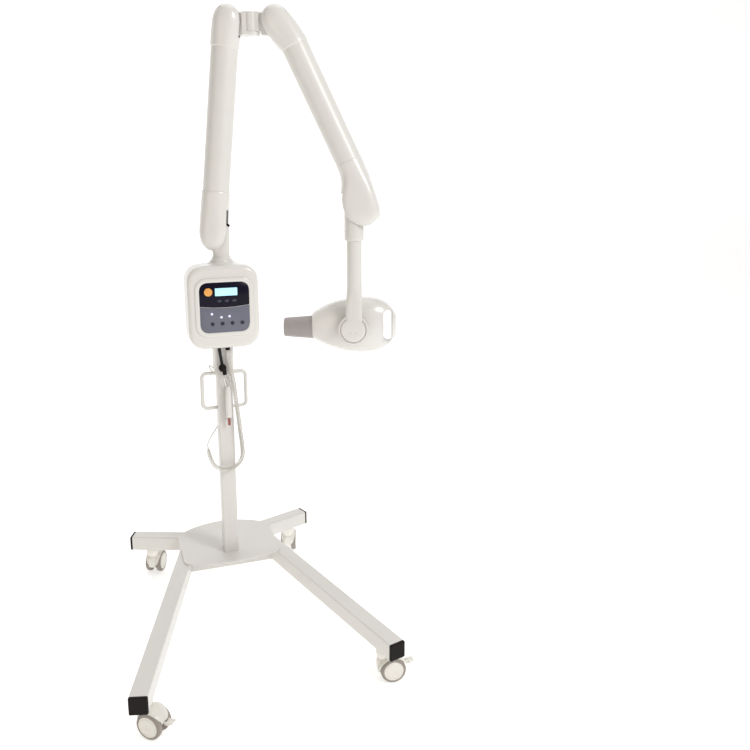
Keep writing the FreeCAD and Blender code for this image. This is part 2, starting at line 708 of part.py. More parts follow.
def flipped(shape):
    """Turn an end cover upside down for the other end of an arm."""
    return shape.mirror(V(0, 0, 0), UP)


def shoulder_bracket():
    """Swivel pipe, tongue to the lower arm's pivot and the rear stop block, one weldment."""
    swivel = rod(PIPE_R, V(0, 0, COLUMN_TOP + 14), V(0, 0, 1214))
    low = SHOULDER - V(0, 0, 62)
    tongue = block(V(SHOULDER.x - 18, -19, low.z), V(SHOULDER.x + 34, 19, SHOULDER.z))
    knuckle = rod(28, SHOULDER - BACK * 19, SHOULDER + BACK * 19)
    stop = block(V(0, -18, 1208), V(SHOULDER.x + 60, 18, 1292))
    neck = rod(23, V(0, 0, 1200), V(0, 0, 1232)).common(block(V(-40, -19, 1190), V(40, 19, 1240)))
    hole = rod(8.0 + FIT, SHOULDER - BACK * 30, SHOULDER + BACK * 30)
    shape = swivel.fuse([tongue, knuckle, stop, neck]).removeSplitter().cut(hole)
    arm_export("shoulder_bracket", shape)


def lower_arm():
    place = (SHOULDER, LOWER_LEAN)
    foot = end_cover(0, 88, (-24, -80), (100, 80), 21)
    foot = foot.fuse(pivot_pin(KNUCKLE_HALF - 2)).removeSplitter()
    arm_export("lower_arm_foot_cover", lean_from(*place, foot))
    arm_export("lower_arm_tube", lean_from(*place, arm_tube(0, 82, LOWER_LENGTH - 74)))
    arm_export("lower_arm_spring", lean_from(*place, balance_spring(0, 100, LOWER_LENGTH - 90)))
    head = flipped(end_cover(0, 80, (-30, -80), (80, 46), 17.5))
    head = head.fuse(pivot_pin(KNUCKLE_HALF - 2)).removeSplitter()
    top = (ELBOW_IN, LOWER_LEAN)
    arm_export("lower_arm_head_cover", lean_from(*top, head))


def link_half(pivot, side):
    """Tongue from an elbow pivot towards the swivel barrel, side +1 or -1 along the reach."""
    tongue = block(V(0, -16, -43), V(52, 16, 22))
    tongue = tongue.fuse(rod(26, -BACK * 16, BACK * 16))
    hole = rod(8.0 + FIT, -BACK * 20, BACK * 20)
    tongue = tongue.cut(hole)
    if side < 0:
        tongue = mirror_x(tongue)
    return shift(tongue, pivot)


def elbow():
    """Two link halves that turn on an upright pin between the arms."""
    mid = ELBOW_IN + V(LINK_LENGTH / 2, 0, 0)
    low, high = mid.z - 43, mid.z + 24
    inner = link_half(ELBOW_IN, 1)
    shoulder = block(V(ELBOW_IN.x + 51, -26, low), V(mid.x, 26, high))
    shoulder = shoulder.cut(rod(25 + GAP, V(mid.x, 0, low + 10), V(mid.x, 0, high + 1)))
    base = rod(25, V(mid.x, 0, low), V(mid.x, 0, low + 10))
    pin = rod(12, V(mid.x, 0, low + 5), V(mid.x, 0, high - 4))
    trim = rod(25 + GAP, V(mid.x, 0, low + 10), V(mid.x, 0, high + 1))
    inner = inner.cut(trim).fuse([shoulder, base, pin]).removeSplitter()
    swing = block(V(mid.x, -22 - GAP, low + 10), V(ELBOW_OUT.x - 51, 22 + GAP, high + 1))
    for angle in (45, 52, ELBOW_TURN):
        inner = inner.cut([turn(swing, angle, UP, mid), turn(swing, -angle, UP, mid)])
    arm_export("elbow_inner_link", inner)
    barrel = rod(25, V(mid.x, 0, low + 10 + GAP), V(mid.x, 0, high))
    outer = link_half(ELBOW_OUT, -1)
    reach = block(V(mid.x, -22, low + 10 + GAP), V(ELBOW_OUT.x - 51, 22, high))
    outer = outer.cut(block(V(mid.x - 60, -40, low - 1), V(ELBOW_OUT.x - 45, 40, low + 10 + GAP)))
    outer = outer.fuse([barrel, reach]).removeSplitter()
    outer = outer.cut(rod(12 + FIT, V(mid.x, 0, low), V(mid.x, 0, high - 3)))
    arm_export("elbow_outer_link", outer)


def forearm():
    """Built hanging: its local +Z runs from the wrist up to the elbow."""
    place = (WRIST, -FORE_LEAN)
    foot = end_cover(FORE_OFFSET, 104, (-110, -90), (24, 92), 32.5, V(-36, 0, 38))
    foot = foot.fuse(pivot_pin(KNUCKLE_HALF - 2)).removeSplitter()
    arm_export("forearm_foot_cover", lean_from(*place, foot))
    arm_export("forearm_tube", lean_from(*place, arm_tube(FORE_OFFSET, 98, FORE_LENGTH - 70)))
    arm_export("forearm_spring", lean_from(*place, balance_spring(FORE_OFFSET, 112, FORE_LENGTH - 88)))
    head = flipped(end_cover(FORE_OFFSET, 76, (-80, -80), (30, 46), 17.5))
    head = head.fuse(pivot_pin(KNUCKLE_HALF - 2)).removeSplitter()
    arm_export("forearm_head_cover", lean_from(ELBOW_OUT, -FORE_LEAN, head))


def wrist():
    """Block on the wrist pivot with the upright socket for the yoke's pipe."""
    axis = YOKE_AXIS
    socket = rod(31, V(axis.x, 0, COLLAR_LOW), V(axis.x, 0, WRIST.z + 14))
    knuckle = rod(28, WRIST - BACK * 30, WRIST + BACK * 30)
    web = block(V(axis.x, -28, WRIST.z - 28), V(WRIST.x, 28, WRIST.z + 14))
    bore = rod(17 + FIT, V(axis.x, 0, COLLAR_LOW - 1), V(axis.x, 0, WRIST.z - 34))
    hole = rod(8.0 + FIT, WRIST - BACK * 40, WRIST + BACK * 40)
    arm_export("wrist_block", socket.fuse([knuckle, web]).removeSplitter().cut([bore, hole]))


PADDLE_FRONT = -26.0
PADDLE_BACK = -1.0
PADDLE_HALF = 26.0
HUB_R = 50.0


def yoke():
    """Pipe under the wrist that flattens into a paddle with the round tilt hub."""
    axis = YOKE_AXIS
    spigot = rod(17, V(axis.x, 0, COLLAR_LOW - 5), V(axis.x, 0, WRIST.z - 36))
    shaft = rod(YOKE_R, V(axis.x, 0, 1088), V(axis.x, 0, COLLAR_LOW - GAP))
    upper = Part.Wire(Part.makeCircle(YOKE_R, V(axis.x, 0, 1088), UP))
    flat = rounded_face(2 * PADDLE_HALF, PADDLE_BACK - PADDLE_FRONT, 9).OuterWire
    flat.translate(V(axis.x, (PADDLE_FRONT + PADDLE_BACK) / 2, 1046))
    blend = Part.makeLoft([upper, flat], True)
    paddle = rounded_face(2 * PADDLE_HALF, PADDLE_BACK - PADDLE_FRONT, 9)
    paddle.translate(V(axis.x, (PADDLE_FRONT + PADDLE_BACK) / 2, HUB_AXIS.z))
    paddle = paddle.extrude(V(0, 0, 1046 - HUB_AXIS.z))
    hub_front = HUB_AXIS + V(0, PADDLE_FRONT + 4, 0)
    hub_back = HUB_AXIS + V(0, PADDLE_BACK, 0)
    disc = rod(HUB_R, hub_front, hub_back)
    tilt_shaft = rod(16, hub_back, hub_back + V(0, 34, 0))
    recess = rod(41, hub_front - V(0, 20, 0), hub_front + V(0, 5, 0))
    groove = pipe(46.5, 42.5, hub_front - V(0, 1, 0), hub_front + V(0, 5, 0))
    wedge = block(V(HUB_AXIS.x - 32, PADDLE_FRONT - 5, HUB_AXIS.z), V(HUB_AXIS.x + 32, 5, HUB_AXIS.z + 70))
    groove = groove.cut(wedge)
    shape = shaft.fuse([spigot, blend, paddle, disc, tilt_shaft]).removeSplitter()
    arm_export("yoke_arm", shape.cut([recess, groove]))
    cap = rod(40.7, hub_front + V(0, -3, 0), hub_front + V(0, 5, 0))
    rim = [edge for edge in cap.Edges if len(edge.Vertexes) == 1 and edge.Vertexes[0].Y < hub_front.y - 2]
    cap = cap.makeFillet(2.5, rim)
    for x in (-8, 9):
        cap = cap.cut(rod(2.2, hub_front + V(x, -6, -9), hub_front + V(x, -1, -9)))
    arm_export("hub_cap", cap)


# ---------------------------------------------------------------- tube head
# Stations along the head's axis from the hub: place, height and thickness of the section.
HEAD_SECTIONS = [(-142, 92, 92), (-96, 136, 118), (-50, 166, 132), (0, 184, 136),
                 (50, 188, 132), (94, 172, 104), (126, 134, 68), (143, 84, 46)]
GRIP_SLOT = (98.0, 131.0, 58.0)  # near side, far side and half height


def head_section(place, high, thick, inset):
    """A soft rounded section across the head's axis."""
    high = high - 2 * inset
    thick = thick - 2 * inset
    face = rounded_face(thick, high, min(thick, high) * 0.42)
    wire = face.OuterWire
    wire.rotate(V(0, 0, 0), ALONG, 90)
    wire.rotate(V(0, 0, 0), UP, 90)
    wire.translate(V(place, 0, 0))
    return wire


def head_form(inset):
    sections = HEAD_SECTIONS
    if inset:
        sections = [(place + (inset if place < 0 and place < -140 else 0), high, thick)
                    for place, high, thick in HEAD_SECTIONS[:-2]]
    return Part.makeLoft([head_section(*row, inset) for row in sections], True)


def head_place(shape):
    return shift(shape, HUB_AXIS + V(0, HEAD_DEEP, 0))


def grip_slot(grow):
    near, far, half = GRIP_SLOT
    wide = far - near + 2 * grow
    slot = bar(wide, 2 * (half + grow), wide / 2 - 0.5, -120, 120)
    slot.rotate(V(0, 0, 0), ALONG, 90)
    slot.translate(V((near + far) / 2, 0, 0))
    return slot


def tube_head():
    """Two shells split on the middle plane, the sealed tube housing inside, and the cone."""
    shell = head_form(0).cut(head_form(3)).cut(grip_slot(0))
    nose_hole = rod(39.1, V(-160, 0, CONE_DROP), V(-120, 0, CONE_DROP))
    shaft_hole = rod(16 + FIT, V(0, -90, 0), V(0, 0, 0))
    shell = shell.cut([nose_hole, shaft_hole])
    front_half = block(V(-200, -100, -150), V(200, 0, 150))
    rear_half = block(V(-200, 0, -150), V(200, 100, 150))
    arm_export("head_front_shell", head_place(shell.common(front_half)))
    arm_export("head_rear_shell", head_place(shell.common(rear_half)))
    housing = rod(48, V(-92, 0, 0), V(70, 0, 0)).cut(rod(42, V(-96, 0, 0), V(60, 0, 0)))
    insert = rod(20, V(-60, 0, 0), V(60.5, 0, 0))
    lug = rod(24, V(0, -62, 0), V(0, -46, 0)).cut(rod(16 + FIT, V(0, -70, 0), V(0, -40, 0)))
    housing = housing.cut(rod(16 + GAP, V(0, -60, 0), V(0, -30, 0)))
    housing = housing.fuse([insert, lug]).removeSplitter()
    arm_export("xray_tube_housing", head_place(housing))
    mouth, base = CONE_R
    outline = [(mouth - 3, -142 - CONE_LONG), (mouth - 1.5, -142 - CONE_LONG),
               (mouth, -142 - CONE_LONG + 3), (base, -142 - FIT), (base, -124), (mouth - 3, -124)]
    cone = revolve(outline)
    cone.rotate(V(0, 0, 0), BACK, 90)
    arm_export("beam_cone", head_place(shift(cone, V(0, 0, CONE_DROP))))


def main():
    os.makedirs("parts", exist_ok=True)
    legs()
    cross_tube()
    base_plate()
    leg_end_caps()
    castors()
    column()
    push_handles()
    control_box()
    control_face()
    mains_inlet()
    pipe_socket()
    hand_switch()
    switch_hanger()
    switch_cord()
    shoulder_bracket()
    lower_arm()
    elbow()
    forearm()
    wrist()
    yoke()
    tube_head()


main()
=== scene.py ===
"""Looks of the mobile intraoral X-ray unit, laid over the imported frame. Metres, +Z up."""
import bmesh
import json
import math

import bpy
import numpy as np
from bpy.props import FloatProperty, FloatVectorProperty, IntProperty, PointerProperty
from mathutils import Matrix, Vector


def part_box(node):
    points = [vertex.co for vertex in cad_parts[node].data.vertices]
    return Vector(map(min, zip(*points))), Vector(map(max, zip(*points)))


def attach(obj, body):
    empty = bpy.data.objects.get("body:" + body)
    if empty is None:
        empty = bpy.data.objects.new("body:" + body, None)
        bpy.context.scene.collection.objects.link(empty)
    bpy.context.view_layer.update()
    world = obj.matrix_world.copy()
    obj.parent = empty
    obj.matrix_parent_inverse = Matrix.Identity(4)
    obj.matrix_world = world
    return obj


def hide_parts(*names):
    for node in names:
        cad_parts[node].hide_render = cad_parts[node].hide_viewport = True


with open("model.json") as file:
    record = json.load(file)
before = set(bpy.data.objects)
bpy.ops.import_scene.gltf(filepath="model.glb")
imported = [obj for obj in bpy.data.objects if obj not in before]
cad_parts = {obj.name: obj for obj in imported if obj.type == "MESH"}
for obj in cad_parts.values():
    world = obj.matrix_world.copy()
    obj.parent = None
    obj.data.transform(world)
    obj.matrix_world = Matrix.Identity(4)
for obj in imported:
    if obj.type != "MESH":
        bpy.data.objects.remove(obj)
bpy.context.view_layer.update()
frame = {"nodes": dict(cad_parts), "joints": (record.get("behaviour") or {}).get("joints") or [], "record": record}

bl_info = {
    "name": "Mobile X-ray Unit",
    "version": (1, 0, 0),
    "blender": (4, 5, 0),
    "location": "View3D > Sidebar > X-ray Unit",
    "description": "Builds the visible pieces of a mobile intraoral X-ray unit",
    "category": "Add Mesh",
}

JOINTS = {joint["name"]: joint for joint in frame["joints"]}
CASTORS = ("front_left", "front_right", "rear_left", "rear_right")


def joint_place(name):
    return np.array(JOINTS[name]["pos_m"], float)


ARM_AXIS = np.array(JOINTS["shoulder_lift"]["axis"], float)
REACH = np.cross(ARM_AXIS, (0.0, 0.0, 1.0))
COLUMN = (np.array(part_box("column")[0]) + np.array(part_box("column")[1])) / 2


# ------------------------------------------------------------ mesh helpers
def ring_faces(rings, count, closed_rings=False):
    """Quads between following rings of `count` points each; the rings close on themselves."""
    row = np.arange(rings if closed_rings else rings - 1)[:, None]
    step = np.arange(count)[None, :]
    following = (step + 1) % count
    after = (row + 1) % rings
    quads = np.stack([row * count + step, row * count + following,
                      after * count + following, after * count + step], axis=-1)
    return quads.reshape(-1, 4)


def new_piece(name, points, quads, ends=(), smooth=35.0):
    """A mesh object from an array of points, an array of quads and a few many-sided ends."""
    mesh = bpy.data.meshes.new(name)
    faces = quads.tolist() + [list(map(int, end)) for end in ends]
    mesh.from_pydata(np.asarray(points, float).reshape(-1, 3).tolist(), [], faces)
    mesh.validate()
    piece = bpy.data.objects.new(name, mesh)
    bpy.context.scene.collection.objects.link(piece)
    tidy_mesh(mesh)
    mesh.shade_smooth()
    mesh.set_sharp_from_angle(angle=math.radians(smooth))
    return piece


def tidy_mesh(mesh):
    """Merge points that coincide and turn every face outwards."""
    work = bmesh.new()
    work.from_mesh(mesh)
    bmesh.ops.remove_doubles(work, verts=work.verts, dist=1e-6)
    bmesh.ops.recalc_face_normals(work, faces=work.faces)
    work.to_mesh(mesh)
    work.free()


def rings_piece(name, rings, capped=True, closed=False, smooth=35.0):
    """A skin over rings of points, an array (ring, point, xyz), with flat ends."""
    rings = np.asarray(rings, float)
    count = rings.shape[1]
    ends = []
    if capped and not closed:
        ends = [np.arange(count)[::-1], np.arange(count) + (len(rings) - 1) * count]
    return new_piece(name, rings, ring_faces(len(rings), count, closed), ends, smooth)


def to_world(points, origin, along=(1, 0, 0), across=(0, 1, 0), up=(0, 0, 1)):
    """Points given on three axes, carried to their place."""
    axes = np.array([along, across, up], float)
    return np.asarray(points, float) @ axes + np.asarray(origin, float)


def turned(name, profile, origin, axis=(0, 0, 1), count=64, smooth=35.0):
    """A profile of (radius, height) pairs turned about an axis: x = r cos a, y = r sin a."""
    axis = np.asarray(axis, float) / np.linalg.norm(axis)
    side = np.cross(axis, (0, 0, 1) if abs(axis[2]) < 0.9 else (1, 0, 0))
    side /= np.linalg.norm(side)
    third = np.cross(axis, side)
    angle = np.linspace(0, 2 * math.pi, count, endpoint=False)
    radius, height = np.asarray(profile, float).T
    local = np.stack([radius[:, None] * np.cos(angle), radius[:, None] * np.sin(angle),
                      height[:, None] + 0 * angle], axis=-1)
    return rings_piece(name, to_world(local, origin, side, third, axis), True, False, smooth)


def rounded_outline(wide, high, corner, count=96, power=2.0):
    """A rectangle with round corners: each corner is a superellipse arc of the given power."""
    part = count // 4
    angle = np.linspace(0, math.pi / 2, part)
    cos = np.cos(angle) ** (2 / power)
    sin = np.sin(angle) ** (2 / power)
    x, y = wide / 2 - corner, high / 2 - corner
    quarter = [np.stack([x + corner * cos, y + corner * sin], -1),
               np.stack([-x - corner * sin, y + corner * cos], -1),
               np.stack([-x - corner * cos, -y - corner * sin], -1),
               np.stack([x + corner * sin, -y - corner * cos], -1)]
    return np.concatenate(quarter)


def tube_piece(name, points, radius, resolution=4):
    """A round bar along a smooth curve through given points, made a mesh."""
    curve = bpy.data.curves.new(name, "CURVE")
    curve.dimensions = "3D"
    spline = curve.splines.new("NURBS")
    spline.points.add(len(points) - 1)
    spline.points.foreach_set("co", np.hstack([points, np.ones((len(points), 1))]).ravel())
    spline.order_u = 3
    spline.use_endpoint_u = True
    curve.resolution_u = 8
    curve.bevel_depth = radius
    curve.bevel_resolution = resolution
    curve.use_fill_caps = True
    holder = bpy.data.objects.new(name + "_curve", curve)
    bpy.context.scene.collection.objects.link(holder)
    bpy.context.view_layer.update()
    mesh = bpy.data.meshes.new_from_object(holder.evaluated_get(bpy.context.evaluated_depsgraph_get()))
    bpy.data.objects.remove(holder)
    mesh.name = name
    mesh.materials.clear()
    tidy_mesh(mesh)
    mesh.shade_smooth()
    mesh.set_sharp_from_angle(angle=math.radians(40))
    piece = bpy.data.objects.new(name, mesh)
    bpy.context.scene.collection.objects.link(piece)
    return piece


def bake_modifiers(piece):
    """Apply the piece's modifiers to its mesh."""
    bpy.context.view_layer.update()
    graph = bpy.context.evaluated_depsgraph_get()
    mesh = bpy.data.meshes.new_from_object(piece.evaluated_get(graph))
    old = piece.data
    piece.modifiers.clear()
    piece.data = mesh
    bpy.data.meshes.remove(old)
    mesh.shade_smooth()
    mesh.set_sharp_from_angle(angle=math.radians(35))


def carve(piece, *cutters):
    """Cut closed pieces out of a piece and remove them."""
    for cutter in cutters:
        cut = piece.modifiers.new("cut", "BOOLEAN")
        cut.operation = "DIFFERENCE"
        cut.solver = "EXACT"
        cut.object = cutter
    bake_modifiers(piece)
    for cutter in cutters:
        bpy.data.objects.remove(cutter)


def prism(name, outline, origin, along, across, low, high, soft=0.0):
    """An outline carried along a third axis from low to high, its rims eased by `soft`."""
    outline = np.asarray(outline, float)
    normal = np.cross(along, across)
    steps = [(low, 0), (high, 0)]
    if soft:
        steps = [(low, soft), (low + soft, 0.0), (high - soft, 0.0), (high, soft)]
    middle = outline.mean(axis=0)
    reach = np.abs(outline - middle).max(axis=0)
    rings = []
    for height, inset in steps:
        ring = middle + (outline - middle) * (1 - inset / reach)
        rings.append(np.column_stack([ring, np.full(len(ring), height)]))
    return rings_piece(name, to_world(rings, origin, along, across, normal))


def finish_piece(piece, body, slot, material, *nodes):
    """Put a material on a piece, ride it on its body and hide the CAD pieces that it stands for."""
    piece.data.materials.clear()
    piece.data.materials.append(material)
    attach(piece, body)
    if nodes:
        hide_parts(*nodes)
    return piece


# ------------------------------------------------------------ materials
def surface_group():
    """Slow colour drift, smudges in the gloss and a fine grain, on object coordinates."""
    name = "moulded_surface"
    if name in bpy.data.node_groups:
        return bpy.data.node_groups[name]
    group = bpy.data.node_groups.new(name, "ShaderNodeTree")
    for label, kind, value in (("Colour", "NodeSocketColor", (0.8, 0.8, 0.8, 1)),
                               ("Shade", "NodeSocketColor", (0.7, 0.7, 0.7, 1)),
                               ("Roughness", "NodeSocketFloat", 0.4),
                               ("Smudge", "NodeSocketFloat", 0.1),
                               ("Patch Scale", "NodeSocketFloat", 9.0),
                               ("Grain Scale", "NodeSocketFloat", 900.0)):
        socket = group.interface.new_socket(label, in_out="INPUT", socket_type=kind)
        socket.default_value = value
    for label, kind in (("Colour", "NodeSocketColor"), ("Roughness", "NodeSocketFloat"),
                        ("Height", "NodeSocketFloat")):
        group.interface.new_socket(label, in_out="OUTPUT", socket_type=kind)
    nodes, links = group.nodes, group.links
    start, end = nodes.new("NodeGroupInput"), nodes.new("NodeGroupOutput")
    place = nodes.new("ShaderNodeTexCoord")
    patch, smudge, grain = (nodes.new("ShaderNodeTexNoise") for _ in range(3))
    for noise in (patch, smudge, grain):
        links.new(place.outputs["Object"], noise.inputs["Vector"])
    patch.inputs["Detail"].default_value = 3
    smudge.inputs["Scale"].default_value = 38
    smudge.inputs["Detail"].default_value = 6
    grain.inputs["Detail"].default_value = 1
    links.new(start.outputs["Patch Scale"], patch.inputs["Scale"])
    links.new(start.outputs["Grain Scale"], grain.inputs["Scale"])
    mix = nodes.new("ShaderNodeMix")
    mix.data_type = "RGBA"
    links.new(patch.outputs["Fac"], mix.inputs["Factor"])
    links.new(start.outputs["Colour"], mix.inputs["A"])
    links.new(start.outputs["Shade"], mix.inputs["B"])
    links.new(mix.outputs["Result"], end.inputs["Colour"])
    centre, amount = nodes.new("ShaderNodeMath"), nodes.new("ShaderNodeMath")
    centre.operation = "SUBTRACT"
    centre.inputs[1].default_value = 0.5
    amount.operation = "MULTIPLY_ADD"
    links.new(smudge.outputs["Fac"], centre.inputs[0])
    links.new(centre.outputs[0], amount.inputs[0])
    links.new(start.outputs["Smudge"], amount.inputs[1])
    links.new(start.outputs["Roughness"], amount.inputs[2])
    links.new(amount.outputs[0], end.inputs["Roughness"])
    links.new(grain.outputs["Fac"], end.inputs["Height"])
    return group


def material(name, colour, shade, rough, smudge=0.12, patch=9.0, grain=900.0, bump=0.05, depth=0.0002,
             metallic=0.0, coat=0.0, glow=0.0, gloss=0.5):
    """A moulded, painted or metal finish from the shared surface group."""
    found = bpy.data.materials.get(name)
    if found:
        return found
    made = bpy.data.materials.new(name)
    made.use_nodes = True
    nodes, links = made.node_tree.nodes, made.node_tree.links
    shader = nodes["Principled BSDF"]
    group = nodes.new("ShaderNodeGroup")
    group.node_tree = surface_group()
    group.inputs["Colour"].default_value = (*colour, 1)
    group.inputs["Shade"].default_value = (*shade, 1)
    group.inputs["Roughness"].default_value = rough
    group.inputs["Smudge"].default_value = smudge
    group.inputs["Patch Scale"].default_value = patch
    group.inputs["Grain Scale"].default_value = grain
    relief = nodes.new("ShaderNodeBump")
    relief.inputs["Strength"].default_value = bump
    relief.inputs["Distance"].default_value = depth
    links.new(group.outputs["Colour"], shader.inputs["Base Color"])
    links.new(group.outputs["Roughness"], shader.inputs["Roughness"])
    links.new(group.outputs["Height"], relief.inputs["Height"])
    links.new(relief.outputs["Normal"], shader.inputs["Normal"])
    shader.inputs["Metallic"].default_value = metallic
    shader.inputs["Coat Weight"].default_value = coat
    shader.inputs["Coat Roughness"].default_value = 0.12
    shader.inputs["Specular IOR Level"].default_value = gloss
    if glow:
        shader.inputs["Emission Color"].default_value = (*colour, 1)
        shader.inputs["Emission Strength"].default_value = glow
    return made


def paint():
    return material("satin_powder_coat", (0.78, 0.765, 0.735), (0.74, 0.72, 0.685), 0.38, bump=0.12,
                    grain=700.0, coat=0.15)


def shell():
    return material("cream_moulding", (0.80, 0.785, 0.755), (0.765, 0.745, 0.71), 0.24, smudge=0.08,
                    bump=0.03, grain=1400.0, coat=0.35)


def black():
    return material("black_moulding", (0.007, 0.005, 0.005), (0.011, 0.008, 0.008), 0.55, bump=0.3, gloss=0.16)


def cone_grey():
    return material("grey_cone_moulding", (0.39, 0.355, 0.35), (0.35, 0.32, 0.315), 0.42, bump=0.25)


def cream():
    return material("castor_cream", (0.70, 0.67, 0.60), (0.63, 0.60, 0.53), 0.42, patch=30.0, bump=0.2)


def tread_rubber():
    return material("castor_tread", (0.26, 0.225, 0.185), (0.20, 0.175, 0.145), 0.72, patch=60.0, bump=0.5,
                    grain=500.0)


def steel():
    return material("machined_steel", (0.56, 0.56, 0.57), (0.48, 0.48, 0.5), 0.32, metallic=1.0, bump=0.2)


def nickel():
    return material("nickel_plate", (0.82, 0.81, 0.78), (0.72, 0.71, 0.69), 0.16, metallic=1.0)


def dark_film():
    return material("dark_film", (0.004, 0.003, 0.012), (0.008, 0.007, 0.02), 0.25, patch=20.0, gloss=0.15)


def grey_film():
    return material("grey_film", (0.16, 0.165, 0.215), (0.135, 0.14, 0.185), 0.42, patch=25.0, bump=0.3)


def orange():
    return material("orange_key", (0.86, 0.46, 0.2), (0.8, 0.4, 0.16), 0.35, patch=40.0)


def red():
    return material("red_button", (0.34, 0.09, 0.08), (0.28, 0.07, 0.065), 0.4, patch=60.0)


def glow():
    return material("lit_display", (0.50, 0.86, 1.0), (0.42, 0.8, 0.98), 0.3, glow=0.42, patch=25.0, gloss=0.2)


def lamp():
    return material("lit_lamp", (0.75, 0.78, 1.0), (0.68, 0.7, 0.98), 0.3, glow=0.5, patch=80.0)


def jacket():
    return material("cord_jacket", (0.52, 0.49, 0.43), (0.45, 0.42, 0.36), 0.5, patch=60.0, bump=0.3)


def webbing():
    """Woven strap: one wave pattern raises the ribs of the weave."""
    made = material("woven_strap", (0.006, 0.006, 0.007), (0.014, 0.014, 0.015), 0.8)
    nodes, links = made.node_tree.nodes, made.node_tree.links
    if "weave" not in nodes:
        weave = nodes.new("ShaderNodeTexWave")
        weave.name = "weave"
        weave.bands_direction = "Z"
        weave.inputs["Scale"].default_value = 260
        weave.inputs["Distortion"].default_value = 1.5
        place = nodes.new("ShaderNodeTexCoord")
        links.new(place.outputs["Object"], weave.inputs["Vector"])
        links.new(weave.outputs["Fac"], nodes["Bump"].inputs["Height"])
        nodes["Bump"].inputs["Strength"].default_value = 0.8
    return made


def board_green():
    return material("circuit_board", (0.02, 0.12, 0.06), (0.03, 0.16, 0.08), 0.4, patch=120.0)


SLOT_MATERIALS = {
    "white_paint": paint, "white_shell": shell, "black_plastic": black, "panel_print": grey_film,
    "display_lit": glow, "circuit_board": board_green, "orange_key": orange, "grey_key": dark_film,
    "bare_steel": steel, "clip_metal": nickel, "webbing": webbing, "red_plastic": red,
    "cord_jacket": jacket, "grey_cone": cone_grey, "castor_cream": cream, "castor_tread": tread_rubber,
}


# ------------------------------------------------------------ stage and camera
class StageSizes(bpy.types.PropertyGroup):
    """Camera and light of the stage."""
    lens: FloatProperty(name="Lens", description="Focal length of the camera", default=38.33)
    key_power: FloatProperty(name="Key light", description="Power of the main soft light", default=88.0)
    fill_power: FloatProperty(name="Fill light", description="Power of the light from the left", default=14.0)


class XRAY_OT_stage(bpy.types.Operator):
    """Camera, floor, backdrop and soft lights"""
    bl_idname = "xray.stage"
    bl_label = "Stage"

    def execute(self, context):
        sizes = context.scene.xray_stage
        scene = context.scene
        data = bpy.data.cameras.new("camera")
        data.lens = sizes.lens
        data.sensor_width = 36.0
        data.shift_y = -0.06
        data.clip_end = 60.0
        camera = bpy.data.objects.new("camera", data)
        camera.location = (COLUMN[0] - 0.379, COLUMN[1] - 2.618, 1.495)
        camera.rotation_euler = (math.radians(90 - 11.97), 0, math.radians(-19.33))
        scene.collection.objects.link(camera)
        scene.camera = camera
        self.floor()
        self.light("key_light", (2.4, -3.1, 3.4), 1.5, sizes.key_power, (1.0, 0.99, 0.98))
        self.light("fill_light", (-3.4, -2.2, 1.7), 2.4, sizes.fill_power, (1.0, 0.80, 0.55))
        self.light("top_light", (0.2, 0.6, 4.4), 3.0, 30.0, (1.0, 1.0, 1.0))
        world = bpy.data.worlds.new("studio")
        scene.world = world
        world.use_nodes = True
        back = world.node_tree.nodes["Background"]
        back.inputs["Color"].default_value = (1.0, 0.985, 0.96, 1)
        back.inputs["Strength"].default_value = 0.34
        scene.view_settings.view_transform = "Standard"
        return {"FINISHED"}

    def light(self, name, place, size, power, colour):
        data = bpy.data.lights.new(name, "AREA")
        data.shape = "DISK"
        data.size = size
        data.energy = power
        data.color = colour
        lamp_object = bpy.data.objects.new(name, data)
        aim = Vector((0.05, 0.0, 0.95))
        lamp_object.location = place
        lamp_object.rotation_euler = (aim - lamp_object.location).to_track_quat("-Z", "Y").to_euler()
        bpy.context.scene.collection.objects.link(lamp_object)

    def floor(self):
        """A sheet that lies flat and rises behind the unit: height = radius (1 - cos t) past the bend."""
        bend = np.linspace(0, math.pi / 2, 24)
        radius, half, behind, front, top = 1.4, 9.0, 3.2, -7.0, 7.0
        profile = np.concatenate([[[front, 0.0]],
                                  np.stack([behind + radius * np.sin(bend), radius * (1 - np.cos(bend))], -1),
                                  [[behind + radius, top]]])
        rings = np.stack([np.column_stack([np.full(len(profile), x), profile]) for x in (-half, half)])
        count = len(profile)
        step = np.arange(count - 1)
        quads = np.stack([step, step + count, step + count + 1, step + 1], -1)
        floor = new_piece("floor", rings, quads, smooth=180.0)
        if floor.data.polygons[0].normal.z < 0:
            floor.data.flip_normals()
        floor.data.materials.append(material("studio_floor", (0.93, 0.93, 0.93), (0.91, 0.91, 0.905), 0.7,
                                             patch=1.5, bump=0.02, glow=0.5))


# ------------------------------------------------------------ hand switch and cord
class CordSizes(bpy.types.PropertyGroup):
    """The hand switch's curly cord."""
    wire: FloatProperty(name="Wire", description="Diameter of the jacket", default=0.0036, unit="LENGTH")
    curl: FloatProperty(name="Curl", description="Outer diameter of the curls", default=0.0155, unit="LENGTH")
    pitch: FloatProperty(name="Pitch", description="Advance of one curl", default=0.0052, unit="LENGTH")
    steps: IntProperty(name="Steps", description="Points in one curl", default=12)


def millimetres(points):
    """Route points in millimetres from the column's foot, as metres in the row's frame."""
    return np.array(points, float) / 1000 + np.array([COLUMN[0], COLUMN[1], 0])


